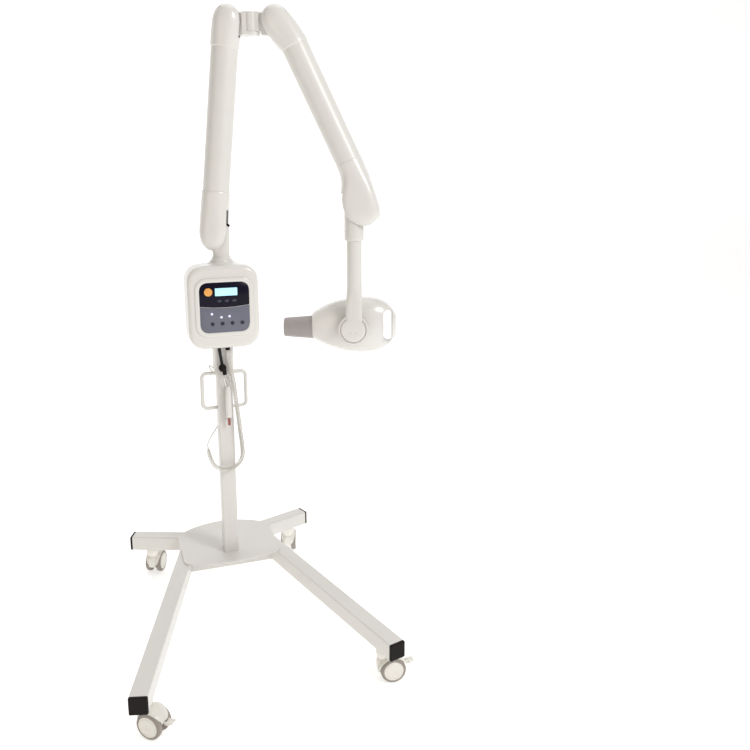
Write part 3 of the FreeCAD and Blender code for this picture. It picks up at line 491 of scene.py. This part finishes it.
COIL_ROUTE = [(10, -44, 886), (11, -45, 862), (17, -47, 822), (25, -47, 778), (29, -46, 732),
              (33, -47, 688), (38, -46, 642), (42, -46, 594), (47, -46, 548), (47, -47, 504.2),
              (14.8, -48, 472), (-30.8, -47, 472), (-63, -42, 504.2), (-66, -30, 549)]
LEAD_ROUTE = [(-67, -23, 560), (-58, -6, 570), (-46, 18, 577), (-28, 37, 590),
              (-9, 45, 622), (-5, 46, 668), (-5, 46, 722), (-9, 46, 770), (-25, 42, 806),
              (-45, 23, 823), (-48, -6, 823), (-41, -34, 814), (-24, -52, 803), (-6, -56, 794),
              (6, -53, 784), (6, -44, 773), (6, -44, 762)]


def nurbs_curve(name, points, radius=0.0):
    curve = bpy.data.curves.new(name, "CURVE")
    curve.dimensions = "3D"
    spline = curve.splines.new("NURBS")
    spline.points.add(len(points) - 1)
    spline.points.foreach_set("co", np.hstack([points, np.ones((len(points), 1))]).ravel())
    spline.order_u = 3
    spline.use_endpoint_u = True
    curve.bevel_depth = radius
    piece = bpy.data.objects.new(name, curve)
    bpy.context.scene.collection.objects.link(piece)
    return piece


def route_line(points):
    """Points along the route's smooth curve, as Blender draws it."""
    holder = nurbs_curve("route", points)
    holder.data.resolution_u = 24
    bpy.context.view_layer.update()
    graph = bpy.context.evaluated_depsgraph_get()
    mesh = bpy.data.meshes.new_from_object(holder.evaluated_get(graph))
    line = np.empty(len(mesh.vertices) * 3)
    mesh.vertices.foreach_get("co", line)
    bpy.data.objects.remove(holder)
    bpy.data.meshes.remove(mesh)
    return line.reshape(-1, 3)


class XRAY_OT_cord(bpy.types.Operator):
    """Curly cord from the box to the hand switch"""
    bl_idname = "xray.cord"
    bl_label = "Curly cord"

    def execute(self, context):
        sizes = context.scene.xray_cord
        line = route_line(millimetres(COIL_ROUTE))
        travel = np.concatenate([[0], np.cumsum(np.linalg.norm(np.diff(line, axis=0), axis=1))])
        turns = int(travel[-1] / sizes.pitch)
        along = np.linspace(0, travel[-1], turns * sizes.steps)
        centre = np.stack([np.interp(along, travel, line[:, axis]) for axis in range(3)], -1)
        way = np.gradient(centre, axis=0)
        way /= np.linalg.norm(way, axis=1)[:, None]
        side = np.cross(way, (0, 1, 0))
        side /= np.linalg.norm(side, axis=1)[:, None]
        other = np.cross(way, side)
        angle = along / sizes.pitch * 2 * math.pi
        ease = np.clip(np.minimum(along, travel[-1] - along) / 0.012, 0, 1)
        radius = (sizes.curl - sizes.wire) / 2 * (0.15 + 0.85 * ease)
        helix = centre + radius[:, None] * (np.cos(angle)[:, None] * side + np.sin(angle)[:, None] * other)
        points = np.concatenate([helix, millimetres(LEAD_ROUTE)])
        cord = nurbs_curve("switch_cord", points, sizes.wire / 2)
        cord.data.resolution_u = 2
        cord.data.bevel_resolution = 2
        cord.data.use_fill_caps = True
        finish_piece(cord, "stand", "cord_jacket", jacket(), "switch_cord_coil", "switch_cord_lead")
        return {"FINISHED"}


# ------------------------------------------------------------ base and column
class XRAY_OT_frame_finish(bpy.types.Operator):
    """Finishes of every CAD piece, from its material slot"""
    bl_idname = "xray.frame_finish"
    bl_label = "Frame finishes"

    def execute(self, context):
        for subpart in frame["record"]["subparts"]:
            node = frame["nodes"][subpart["node"]]
            made = SLOT_MATERIALS[subpart["material_slot"]]()
            node.data.materials.clear()
            node.data.materials.append(made)
        return {"FINISHED"}


# ------------------------------------------------------------ arm covers
UP = np.array([0.0, 0.0, 1.0])


def arm_frame(pivot, toward):
    """Axes at a pivot: across the arm in its plane, along the hinge axis, and up the arm."""
    up = np.asarray(toward, float) - pivot
    up -= ARM_AXIS * (up @ ARM_AXIS)
    up /= np.linalg.norm(up)
    return np.cross(ARM_AXIS, up), ARM_AXIS, up


def sections_piece(name, sections, origin, axes, count=28, levels=2):
    """A subdivided skin over superellipse sections (height, left, right, half depth, power).

    Each section is x = middle + half |cos a|^(2/p) sign(cos a), y = depth |sin a|^(2/p) sign(sin a).
    """
    angle = np.linspace(0, 2 * math.pi, count, endpoint=False)
    cos, sin = np.cos(angle), np.sin(angle)
    rings = []
    for height, left, right, depth, power, *shift in sections:
        x = (right - left) / 2 + (right + left) / 2 * np.sign(cos) * np.abs(cos) ** (2 / power)
        y = sum(shift) + depth * np.sign(sin) * np.abs(sin) ** (2 / power)
        rings.append(np.stack([x, y, np.full(count, height)], -1))
    piece = rings_piece(name, to_world(np.array(rings) / 1000, origin, *axes), smooth=180.0)
    smooth = piece.modifiers.new("smooth", "SUBSURF")
    smooth.levels = smooth.render_levels = levels
    bake_modifiers(piece)
    piece.data.shade_smooth()
    return piece


def hollow(piece, wall):
    """Give a closed skin an inner wall, so that a cut shows its thickness."""
    inner = piece.modifiers.new("wall", "SOLIDIFY")
    inner.thickness = wall
    inner.offset = -1.0
    bake_modifiers(piece)


def block_cutter(name, low, high, origin, axes):
    """A box between two corners given in millimetres on three axes."""
    corners = np.array([[[x, y, z] for x, y in ((low[0], low[1]), (high[0], low[1]),
                                                (high[0], high[1]), (low[0], high[1]))]
                        for z in (low[2], high[2])], float) / 1000
    return rings_piece(name, to_world(corners, origin, *axes))


class XRAY_OT_arm_covers(bpy.types.Operator):
    """Moulded covers over the ends of both arms"""
    bl_idname = "xray.arm_covers"
    bl_label = "Arm covers"

    def execute(self, context):
        shoulder, elbow_in = joint_place("shoulder_lift"), joint_place("elbow_level")
        elbow_out, wrist = joint_place("forearm_lift"), joint_place("wrist_level")
        lower, fore = arm_frame(shoulder, elbow_in), arm_frame(wrist, elbow_out)
        self.cover("lower_arm_foot_cover", shoulder, lower, "lower_arm", [
            (137, 43.2, 43.2, 43.2, 2), (136, 45.5, 45.5, 45.5, 2), (90, 45.5, 45.5, 45.5, 2.05),
            (30, 46, 46.5, 46, 2.3), (-8, 45.5, 46, 46, 2.6), (-34, 36, 38, 44, 2.7),
            (-50, 22, 24, 36, 2.6), (-57, 8, 9, 20, 2.4)], ((-24, -21, -80), (100, 21, 78)))
        self.cover("lower_arm_head_cover", elbow_in, (lower[0], lower[1], lower[2]), "lower_arm", [
            (-80, 43.2, 43.2, 43.2, 2), (-79, 45.5, 45.5, 45.5, 2), (-50, 45, 46, 45.5, 2.1),
            (-20, 44, 48, 46, 2.3), (8, 42, 48.5, 46, 2.4), (30, 34, 40, 43, 2.4),
            (43, 22, 27, 33, 2.3), (49, 7, 11, 16, 2.1)], ((-30, -17.5, -46), (90, 17.5, 90)))
        self.cover("forearm_head_cover", elbow_out, fore, "forearm", [
            (-92, 22.8, 63.2, 43.2, 2), (-91, 25.2, 65.4, 45.5, 2), (-62, 33, 62, 45.5, 2.1),
            (-28, 45, 56, 46, 2.3), (2, 48.5, 49, 46, 2.4), (28, 41, 40, 43, 2.4),
            (42, 27, 26, 33, 2.3), (49, 9, 9, 16, 2.1)], ((-90, -17.5, -46), (30, 17.5, 80)))
        self.cover("forearm_foot_cover", wrist, fore, "forearm", [
            (170, 22.6, 62.6, 42.6, 2), (169, 23.2, 63.2, 43.2, 2), (140, 24, 63, 43.4, 2.05),
            (112, 31, 61, 44, 2.3), (90, 46, 60, 45, 2.8), (70, 57, 58, 46, 3.2), (42, 66, 55, 46.5, 3.5),
            (18, 67, 52, 46.5, 3.5), (-10, 59, 49, 46, 3.3), (-33, 41, 38, 42, 3.0),
            (-47, 22, 20, 30, 2.6), (-53, 6, 6, 13, 2.2)],
            ((-140, -32.5, -70), (26, 32.5, 84)))
        return {"FINISHED"}

    def cover(self, node, pivot, axes, body, sections, slot):
        piece = sections_piece(node + "_moulding", sections, pivot, axes)
        hollow(piece, 0.0026)
        carve(piece, block_cutter("slot", *slot, pivot, axes))
        finish_piece(piece, body, "white_shell", shell(), node)


class XRAY_OT_shoulder(bpy.types.Operator):
    """Swivel pipe's collar, the bearing housing, the shoulder casting and the stop screw at the shoulder"""
    bl_idname = "xray.shoulder"
    bl_label = "Shoulder fittings"

    def execute(self, context):
        base = np.array(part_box("pipe_socket"))
        axis = joint_place("arm_swivel")
        top = base[1][2]
        profile = [(26.7, -14), (56, -14), (54, -8.6), (46, -7), (40.5, -4), (37.6, 0), (36.8, 2.4), (34, 4.2),
                   (31, 8), (29.4, 12), (28.4, 14), (26.7, 14)]
        collar = turned("pipe_boss", np.array(profile) / 1000, (axis[0], axis[1], top - 0.004), count=72)
        finish_piece(collar, "stand", "white_shell", shell())
        hump = [(0, 1036), (30, 1036), (35, 1038), (37.5, 1042), (37.5, 1150), (35, 1158), (30, 1162),
                (0, 1162)]
        housing = turned("bearing_housing", np.array(hump) / 1000, (axis[0], axis[1], 0.0), count=72)
        finish_piece(housing, "stand", "white_shell", shell())
        foot = np.array([axis[0], axis[1], 0.0])
        arm = sections_piece("shoulder_casting", [
            (1062, 26.3, 26.3, 26.3, 2), (1063, 26.5, 26.5, 26.5, 2), (1190, 26.5, 26.5, 26.5, 2),
            (1206, 27, 26.5, 25, 2.2), (1220, 36, 27, 20, 2.8), (1236, 46, 28, 18.5, 3.4),
            (1262, 44, 29, 18.5, 3.4), (1284, 34, 29, 18.5, 3.2), (1293, 22, 25, 15, 3.0),
            (1295, 8, 12, 8, 2.6)], foot, (REACH, ARM_AXIS, UP))
        finish_piece(arm, "swivel_bracket", "white_paint", paint(), "shoulder_bracket")
        knob = [(0, 0), (5.2, 0), (5.6, 1), (5.6, 6), (4.6, 7.5), (0, 7.6)]
        stop = turned("stop_screw", np.array(knob) / 1000, foot + REACH * 0.024 + UP * 1.288 - ARM_AXIS * 0.004,
                      UP * 0.8 + REACH * 0.6, 32)
        finish_piece(stop, "swivel_bracket", "black_plastic", black())
        return {"FINISHED"}


class XRAY_OT_yoke(bpy.types.Operator):
    """Yoke pipe that flattens into a paddle, its round tilt hub and the collar over it"""
    bl_idname = "xray.yoke"
    bl_label = "Yoke"

    def execute(self, context):
        axis = joint_place("yoke_swivel")
        foot = np.array([axis[0], axis[1], 0.0])
        hub = joint_place("head_tilt")
        pipe = sections_piece("yoke_pipe", [
            (1248, 24, 24, 24, 2), (1247, 24.4, 24.4, 24.4, 2), (1112, 24.4, 24.4, 24.4, 2),
            (1088, 24.6, 24.6, 23.5, 2.1, -1), (1064, 25.5, 25, 20, 2.4, -5), (1040, 28, 26, 15, 3.0, -10.5),
            (1018, 29, 26, 12.8, 3.4, -13), (985, 30, 26, 12.4, 3.6, -13.5), (952, 30, 26, 12.4, 3.6, -13.5),
            (948, 29, 25, 11.5, 3.4, -13.5)], foot, (REACH, ARM_AXIS, UP))
        finish_piece(pipe, "yoke", "white_paint", paint(), "yoke_arm")
        disc = [(0, -21.5), (40.9, -21.5), (41.0, -19.4), (41.8, -18.4), (43.0, -18.8), (43.6, -21.4),
                (45, -22.6), (48.4, -22.0), (50, -19.6), (50.2, -8), (49.4, -3), (47.6, -1.2), (0, -1.2)]
        hub_disc = turned("hub_disc", np.array(disc) / 1000, hub, ARM_AXIS, 112)
        finish_piece(hub_disc, "yoke", "white_paint", paint())
        cap = [(0, -26.4), (24, -26.2), (35, -25.6), (39, -24.4), (40.4, -22.4), (40.6, -19.8), (0, -19.8)]
        cover = turned("hub_cap_moulding", np.array(cap) / 1000, hub, ARM_AXIS, 112)
        finish_piece(cover, "yoke", "white_shell", shell(), "hub_cap")
        screw = [(0, -26.9), (1.6, -26.8), (2.2, -26.3), (2.3, -25), (0, -25)]
        for side, label in ((-8.5, "left"), (8.5, "right")):
            head = turned("hub_screw_" + label, np.array(screw) / 1000, hub + REACH * side / 1000 - UP * 0.009,
                          ARM_AXIS, 24)
            finish_piece(head, "yoke", "bare_steel", steel())
        ring = [(26.6, 1241.8), (30.2, 1241.8), (31.4, 1243.4), (31.6, 1247), (31.6, 1274), (31.2, 1276),
                (26.6, 1276)]
        collar = turned("wrist_collar", np.array(ring) / 1000, foot, UP, 72)
        finish_piece(collar, "wrist", "white_shell", shell())
        return {"FINISHED"}


# ------------------------------------------------------------ tube head
HEAD_SECTIONS = [(-142, 40, 40, 40), (-137, 45, 46, 44), (-96, 69, 67, 59), (-50, 86, 83, 67), (0, 95, 93, 69),
                 (50, 98, 94, 67), (94, 90, 84, 53), (122, 70, 63, 37), (140, 44, 38, 24), (145, 30, 26, 14)]
GRIP = (98.0, 131.0, 58.0)


class XRAY_OT_tube_head(bpy.types.Operator):
    """Two smooth head shells with a grip slot, and the grey beam cone"""
    bl_idname = "xray.tube_head"
    bl_label = "Tube head"

    def execute(self, context):
        hub = joint_place("head_tilt")
        shell_box = np.array(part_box("head_rear_shell"))
        cone_box = np.array(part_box("beam_cone"))
        centre = hub + ARM_AXIS * 0.070
        axes = (UP, ARM_AXIS, REACH)
        sections = [(place, low, high, deep, 2.5) for place, high, low, deep in HEAD_SECTIONS]
        whole = sections_piece("head", sections, centre, axes, 32)
        hollow(whole, 0.003)
        near, far, half = GRIP
        slot = prism("slot", rounded_outline(2 * half, far - near, (far - near) / 2 - 0.5, 64) / 1000,
                     centre + REACH * (near + far) / 2000, UP, REACH, -0.12, 0.12)
        carve(whole, slot)
        for name, side, other in (("head_front_shell", -1, 1), ("head_rear_shell", 1, -1)):
            half_shell = whole.copy()
            half_shell.data = whole.data.copy()
            half_shell.name = name + "_moulding"
            bpy.context.scene.collection.objects.link(half_shell)
            low = (-150, 0.45 if side < 0 else -150, -160)
            high = (150, 150 if side < 0 else -0.45, 160)
            carve(half_shell, block_cutter("half", low, high, centre, axes))
            finish_piece(half_shell, "tube_head", "white_shell", shell(), name)
        bpy.data.objects.remove(whole)
        self.slot_wall(centre, axes)
        self.cone(hub, centre)
        return {"FINISHED"}

    def slot_wall(self, centre, axes):
        """A sleeve that lines the grip slot, as deep at each point as the shell round it.

        Depth there is the section's half depth times (1 - |height / half height|^2.5)^0.4.
        """
        near, far, half = GRIP
        outline = rounded_outline(2 * half, far - near, (far - near) / 2 - 0.5, 64)
        inner = rounded_outline(2 * half - 5, far - near - 5, (far - near) / 2 - 3, 64)
        place = outline[:, 1] + (near + far) / 2
        stations = np.array(HEAD_SECTIONS, float)
        high = np.interp(place, stations[:, 0], stations[:, 1:3].mean(axis=1))
        deep = np.interp(place, stations[:, 0], stations[:, 3])
        reach = deep * (1 - np.clip(np.abs(outline[:, 0]) / high, 0, 0.97) ** 2.5) ** 0.4 - 1.2
        rings = []
        for loop, side in ((outline, -1), (outline, 1), (inner, 1), (inner, -1)):
            rings.append(np.column_stack([loop[:, 0], side * reach, loop[:, 1]]))
        points = to_world(np.array(rings) / 1000, centre + REACH * (near + far) / 2000, *axes)
        liner = rings_piece("grip_slot_liner", points, capped=False, closed=True)
        finish_piece(liner, "tube_head", "white_shell", shell())

    def cone(self, hub, centre):
        profile = [(28, -236), (29.5, -236.4), (31, -235), (31.6, -232), (32.2, -228), (38.3, -148), (38.8, -143),
                   (39.2, -140), (39.2, -124), (28, -124)]
        cone = turned("beam_cone_moulding", np.array(profile) / 1000, centre - UP * 0.007, REACH, 96)
        finish_piece(cone, "tube_head", "grey_cone", cone_grey(), "beam_cone")


# ------------------------------------------------------------ control box
def nested(outlines, depths, centre, deep_axis=(0, 1, 0)):
    """Outlines (x, z) carried back from the box's front: y = depth."""
    rings = [np.column_stack([loop[:, 0], np.full(len(loop), depth), loop[:, 1]])
             for loop, depth in zip(outlines, depths)]
    return np.array(rings) / 1000 + np.asarray(centre, float)


class XRAY_OT_control_box(bpy.types.Operator):
    """Two-part box with its raised frame, printed panel, keys, lamps and lit display"""
    bl_idname = "xray.control_box"
    bl_label = "Control box"

    def execute(self, context):
        front = np.array(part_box("case_front_shell"))
        rear = np.array(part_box("case_rear_shell"))
        self.wide, self.high = (front[1] - front[0])[[0, 2]] * 1000
        self.seam = (rear[0][1] - front[0][1]) * 1000
        self.deep = (rear[1][1] - front[0][1]) * 1000
        self.origin = np.array([(front[0][0] + front[1][0]) / 2, front[0][1], (front[0][2] + front[1][2]) / 2])
        self.case()
        self.panel()
        self.keys()
        return {"FINISHED"}

    def loop(self, inset, power=2.5):
        return rounded_outline(self.wide - 2 * inset, self.high - 2 * inset, 62 - inset, 128, power)

    def pad(self, grow, drop=0.0):
        loop = rounded_outline(186 + 2 * grow, 190 + 2 * grow, 44 + grow, 128, 2.4)
        return loop + np.array([1.0, 1.5 - drop])

    def case(self):
        turn_in = np.linspace(0, math.pi / 2, 9)
        rim = 15.0
        bead = 0.9
        insets = rim * (1 - np.cos(turn_in[::-1]))
        depths = 5.0 + rim * (1 - np.sin(turn_in[::-1]))
        loops = [self.pad(-16), self.pad(-15.2), self.pad(-13), self.pad(-4), self.pad(-1.2), self.pad(0),
                 self.pad(0.6)]
        heights = [3.2, 1.2, 0.4, 0.3, 1.0, 2.4, 5.0]
        loops += [self.loop(inset) for inset in insets]
        heights += list(depths)
        loops += [self.loop(0), self.loop(bead), self.loop(bead + 2.5)]
        heights += [self.seam - 1.0, self.seam - 0.3, self.seam - 0.3]
        points = nested(loops, heights, self.origin)
        case = rings_piece("case_front_moulding", points, smooth=40.0)
        finish_piece(case, "stand", "white_shell", shell(), "case_front_shell")
        back = [self.loop(bead + 2.5), self.loop(bead), self.loop(0)]
        heights = [self.seam + 0.4, self.seam + 0.4, self.seam + 1.2]
        back += [self.loop(i) for i in insets[::-1]]
        heights += [self.deep - rim * (1 - math.sin(t)) for t in turn_in]
        points = nested(back, heights, self.origin)
        rear = rings_piece("case_rear_moulding", points, smooth=40.0)
        finish_piece(rear, "stand", "white_shell", shell(), "case_rear_shell")

    def slab(self, name, loop, front, back, made, slot, *nodes, body="stand", soft=0.5):
        middle = loop.mean(axis=0)
        reach = np.abs(loop - middle).max(axis=0)
        inner = middle + (loop - middle) * (1 - soft / reach)
        points = nested([inner, loop, loop], [front, front + soft, back], self.origin)
        return finish_piece(rings_piece(name, points, smooth=50.0), body, slot, made, *nodes)

    def panel(self):
        """Dark upper field with an arched top and a bowed lower edge, and the grey field under it."""
        base = self.pad(-13.6)
        self.slab("panel_base", base, 1.1, 3.4, shell(), "panel_print", "panel_overlay")
        x = np.linspace(-81.5, 82.5, 41)
        mid = (x - 0.5) / 82.0
        top = 79.5 + 13.0 * np.sqrt(np.clip(1 - np.abs(mid) ** 2.6, 0, 1)) - 3
        split = 8.0 - 6.5 * (1 - mid ** 2)
        dark = np.concatenate([np.stack([x, split], -1), np.stack([x[::-1], top[::-1]], -1)])
        self.slab("panel_dark_field", dark, 0.5, 1.4, dark_film(), "panel_print", soft=0.3)
        low = -79.0 - 7.0 * (1 - mid ** 2) + 34.0 * np.clip((np.abs(mid) - 0.78) / 0.22, 0, 1) ** 2.4
        grey = np.concatenate([np.stack([x, low], -1), np.stack([x[::-1], split[::-1] - 1.0], -1)])
        self.slab("panel_grey_field", grey, 0.55, 1.4, grey_film(), "panel_print", soft=0.3)

    def disc(self, name, x, z, wide, high, front, made, slot, node=None, body="stand", bulge=1.2):
        """A domed key: height falls as the square of the distance from its middle."""
        steps = np.array([0.0, 0.35, 0.65, 0.86, 0.97, 1.0, 1.0])
        heights = front + bulge * steps ** 2.6
        heights[-1] = front + 2.5
        angle = np.linspace(0, 2 * math.pi, 40, endpoint=False)
        loops = [np.stack([x + wide / 2 * step * np.cos(angle), z + high / 2 * step * np.sin(angle)], -1)
                 for step in np.maximum(steps, 0.02)]
        piece = rings_piece(name, nested(loops, heights, self.origin), smooth=60.0)
        return finish_piece(piece, body, slot, made, *([node] if node else []))

    def keys(self):
        centre = self.origin * 1000
        for joint in frame["joints"]:
            name = joint["name"]
            if not name.endswith("_key_press") and "_key_" not in name:
                continue
            node = name[:-len("_press")]
            low, high = np.array(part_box(node)) * 1000
            x, z = ((low + high) / 2 - centre)[[0, 2]]
            if node == "exposure_key":
                self.disc(node + "_cap", x, z, 26, 26, -1.6, orange(), "orange_key", node, node + "_body")
                self.ring(node + "_rim", x, z, 14.6, dark_film())
            elif node.startswith("menu"):
                self.disc(node + "_cap", x, z, 14, 9, -0.7, material("menu_key", (0.06, 0.055, 0.09),
                          (0.045, 0.04, 0.07), 0.3, gloss=0.3), "black_plastic", node, node + "_body")
            else:
                self.disc(node + "_cap", x, z, 13, 13, -0.9, material("mode_key", (0.02, 0.02, 0.04),
                          (0.012, 0.012, 0.028), 0.35), "grey_key", node, node + "_body")
        low, high = np.array(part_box("display_window")) * 1000
        x, z = ((low + high) / 2 - centre)[[0, 2]]
        wide, tall = (high - low)[[0, 2]]
        self.slab("display_glass", rounded_outline(wide - 1, tall - 1, 1.5, 32) + (x, z), 0.15, 1.4, glow(),
                  "display_lit", "display_window", soft=0.3)
        for number, (lamp_x, lamp_z) in enumerate(((-41, -20), (-11, -32), (15, -30)), 1):
            self.disc("lamp_%d" % number, lamp_x, lamp_z + 2, 7.5, 7.5, -0.1, lamp(), "display_lit", bulge=0.6)

    def ring(self, name, x, z, radius, made):
        angle = np.linspace(0, 2 * math.pi, 56, endpoint=False)
        loops = [np.stack([x + r * np.cos(angle), z + r * np.sin(angle)], -1)
                 for r in (radius - 1.2, radius - 0.9, radius, radius + 0.3)]
        points = nested(loops, [1.2, -0.2, -0.2, 1.2], self.origin)
        finish_piece(rings_piece(name, points, capped=False, closed=True), "stand", "panel_print", made)


# ------------------------------------------------------------ castors
class XRAY_OT_castors(bpy.types.Operator):
    """Twin wheels with cream caps under a rounded hood, four times"""
    bl_idname = "xray.castors"
    bl_label = "Castors"

    def execute(self, context):
        for name in CASTORS:
            stem = joint_place(name + "_castor_swivel")
            hub = joint_place(name + "_castor_wheel_spin")
            axle = np.array(JOINTS[name + "_castor_wheel_spin"]["axis"], float)
            trail = hub - stem
            trail[2] = 0
            trail /= np.linalg.norm(trail)
            self.wheels(name, hub, axle)
            self.hood(name, stem, hub, trail, axle)
        for name in ("front_left", "front_right"):
            pedal = frame["nodes"][name + "_brake_pedal"]
            pedal.data.materials.clear()
            pedal.data.materials.append(cream())
        return {"FINISHED"}

    def wheels(self, name, hub, axle):
        tyre = [(29.5, 12), (34.5, 12), (36.6, 13.2), (37.5, 16), (37.4, 23), (36.4, 26), (34, 27.6),
                (31, 28), (29.5, 27.8)]
        cap = [(0, 12.4), (29.4, 12.4), (29.4, 27.0), (28.6, 28.4), (25.6, 28.8), (24.8, 28.0), (24.0, 28.0),
               (23.0, 29.0), (12, 29.0), (7.5, 28.8), (6.6, 28.0), (0, 28.0)]
        for side, label in ((1, "outer"), (-1, "inner")):
            for part, profile, made, slot in (("tyre", tyre, tread_rubber(), "castor_tread"),
                                              ("cap", cap, cream(), "castor_cream")):
                piece = turned("%s_%s_%s" % (name, label, part), np.array(profile) / 1000, hub, axle * side, 80)
                nodes = (name + "_castor_wheels",) if (part, side) == ("tyre", 1) else ()
                finish_piece(piece, name + "_castor_wheel_pair", slot, made, *nodes)

    def hood(self, name, stem, hub, trail, axle):
        """A fender over both wheels: an arc of a rounded channel, with the swivel boss on top."""
        angle = np.radians(np.linspace(20, 186, 40))
        half = 27.0 * np.clip(np.sin(np.linspace(0.0, math.pi, 40)) ** 0.28, 0.45, 1)
        outer, inner = 43.0, 40.0
        rings = []
        for turn_angle, wide in zip(angle, half):
            radial = trail * math.cos(turn_angle) + UP * math.sin(turn_angle)
            lane = np.array([(-wide, inner), (-wide - 0.8, outer - 6), (-wide + 3.5, outer - 1.4), (0, outer),
                             (wide - 3.5, outer - 1.4), (wide + 0.8, outer - 6), (wide, inner), (0, inner + 0.4)])
            rings.append([hub + (axle * a + radial * r) / 1000 for a, r in lane])
        fender = rings_piece(name + "_fender", np.array(rings), smooth=180.0)
        ease = fender.modifiers.new("smooth", "SUBSURF")
        ease.levels = ease.render_levels = 2
        bake_modifiers(fender)
        finish_piece(fender, name + "_castor_fork", "castor_cream", cream(), name + "_castor_hood")
        boss = [(0, -34), (14, -34), (19, -26), (22, -16), (22.4, -6), (21, -1.4), (19, -0.6), (0, -0.6)]
        boss_piece = turned(name + "_swivel_boss", np.array(boss) / 1000, stem, UP, 64)
        finish_piece(boss_piece, name + "_castor_fork", "castor_cream", cream())
        web = rounded_outline(74, 52, 20, 48)
        centre = (stem + hub) / 2 + trail * 0.004
        centre[2] = hub[2] + 0.012
        web_piece = prism(name + "_web", web / 1000, centre, trail, UP, -0.0112, 0.0112, 0.001)
        finish_piece(web_piece, name + "_castor_fork", "castor_cream", cream())


# ------------------------------------------------------------ hand switch and its clip
class XRAY_OT_hand_switch(bpy.types.Operator):
    """Hand switch, its clip with a black body and plated jaws, and the cord's gland"""
    bl_idname = "xray.hand_switch"
    bl_label = "Hand switch"

    def execute(self, context):
        body = np.array(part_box("hand_switch_body"))
        axis = (body[0] + body[1]) / 2
        low = body[0][2]
        profile = [(6.3, 14), (6.3, 0.4), (7.6, 0), (9.2, 1.2), (9.8, 4), (9.9, 30), (9.2, 31), (9.2, 32), (9.9, 33),
                   (10, 62), (9.6, 78), (9.2, 96), (7.6, 103), (5.4, 106), (5.0, 108), (0.2, 108), (0.2, 20)]
        handle = turned("switch_handle", np.array(profile) / 1000, (axis[0], axis[1], low), count=56)
        finish_piece(handle, "stand", "white_shell", shell(), "hand_switch_body")
        button = [(0.2, -28), (2.6, -28), (3.8, -27), (4.3, -25), (4.4, -2), (6.2, 0.6), (6.2, 14), (0.2, 14)]
        push = turned("switch_push", np.array(button) / 1000, (axis[0], axis[1], low), count=48)
        finish_piece(push, "hand_switch_push", "red_plastic", red(), "hand_switch_button")
        self.clip(axis, low + 0.108)
        return {"FINISHED"}

    def clip(self, axis, top):
        hub = millimetres((-9, -44, 826))
        profile = [(0, -6.4), (9.5, -6.2), (12, -5), (12.6, -3), (12.6, 3), (12, 5), (9.5, 6.2), (0, 6.4)]
        disc = turned("clip_body", np.array(profile) / 1000, hub, (0, 1, 0), 48)
        finish_piece(disc, "stand", "black_plastic", black(), "switch_clip")
        neck = prism("clip_neck", rounded_outline(13, 19, 4, 32) / 1000, millimetres((-3, -44, 811)),
                     (1, 0, 0), UP, -0.0035, 0.0035, 0.0008)
        finish_piece(neck, "stand", "black_plastic", black())
        for side, label in ((-1, "left"), (1, "right")):
            route = [(2 + side * 3, -44, 806), (6 + side * 8, -44, 798), (6 + side * 11, -44, 786),
                     (6 + side * 8, -44, 774), (6 + side * 5.2, -44, 762)]
            jaw = tube_piece("clip_jaw_" + label, millimetres(route), 0.0024)
            finish_piece(jaw, "stand", "clip_metal", nickel())


OPERATORS = (XRAY_OT_stage, XRAY_OT_cord, XRAY_OT_frame_finish, XRAY_OT_arm_covers, XRAY_OT_shoulder,
             XRAY_OT_yoke, XRAY_OT_tube_head, XRAY_OT_control_box, XRAY_OT_castors, XRAY_OT_hand_switch)
SETTINGS = {"xray_stage": StageSizes, "xray_cord": CordSizes}


class XRAY_PT_panel(bpy.types.Panel):
    """Buttons for each step of the build"""
    bl_idname = "XRAY_PT_panel"
    bl_label = "X-ray Unit"
    bl_space_type = "VIEW_3D"
    bl_region_type = "UI"
    bl_category = "X-ray Unit"

    def draw(self, context):
        for operator in OPERATORS:
            self.layout.operator(operator.bl_idname)
        for name, group in SETTINGS.items():
            box = self.layout.box()
            for key in group.__annotations__:
                box.prop(getattr(context.scene, name), key)


def register():
    for group in SETTINGS.values():
        bpy.utils.register_class(group)
    for name, group in SETTINGS.items():
        setattr(bpy.types.Scene, name, PointerProperty(type=group))
    for operator in OPERATORS + (XRAY_PT_panel,):
        bpy.utils.register_class(operator)


def unregister():
    for operator in (XRAY_PT_panel,) + OPERATORS[::-1]:
        bpy.utils.unregister_class(operator)
    for name, group in SETTINGS.items():
        delattr(bpy.types.Scene, name)
        bpy.utils.unregister_class(group)


def main():
    register()
    for operator in OPERATORS:
        group, name = operator.bl_idname.split(".")
        getattr(getattr(bpy.ops, group), name)()


if __name__ == "__main__":
    main()
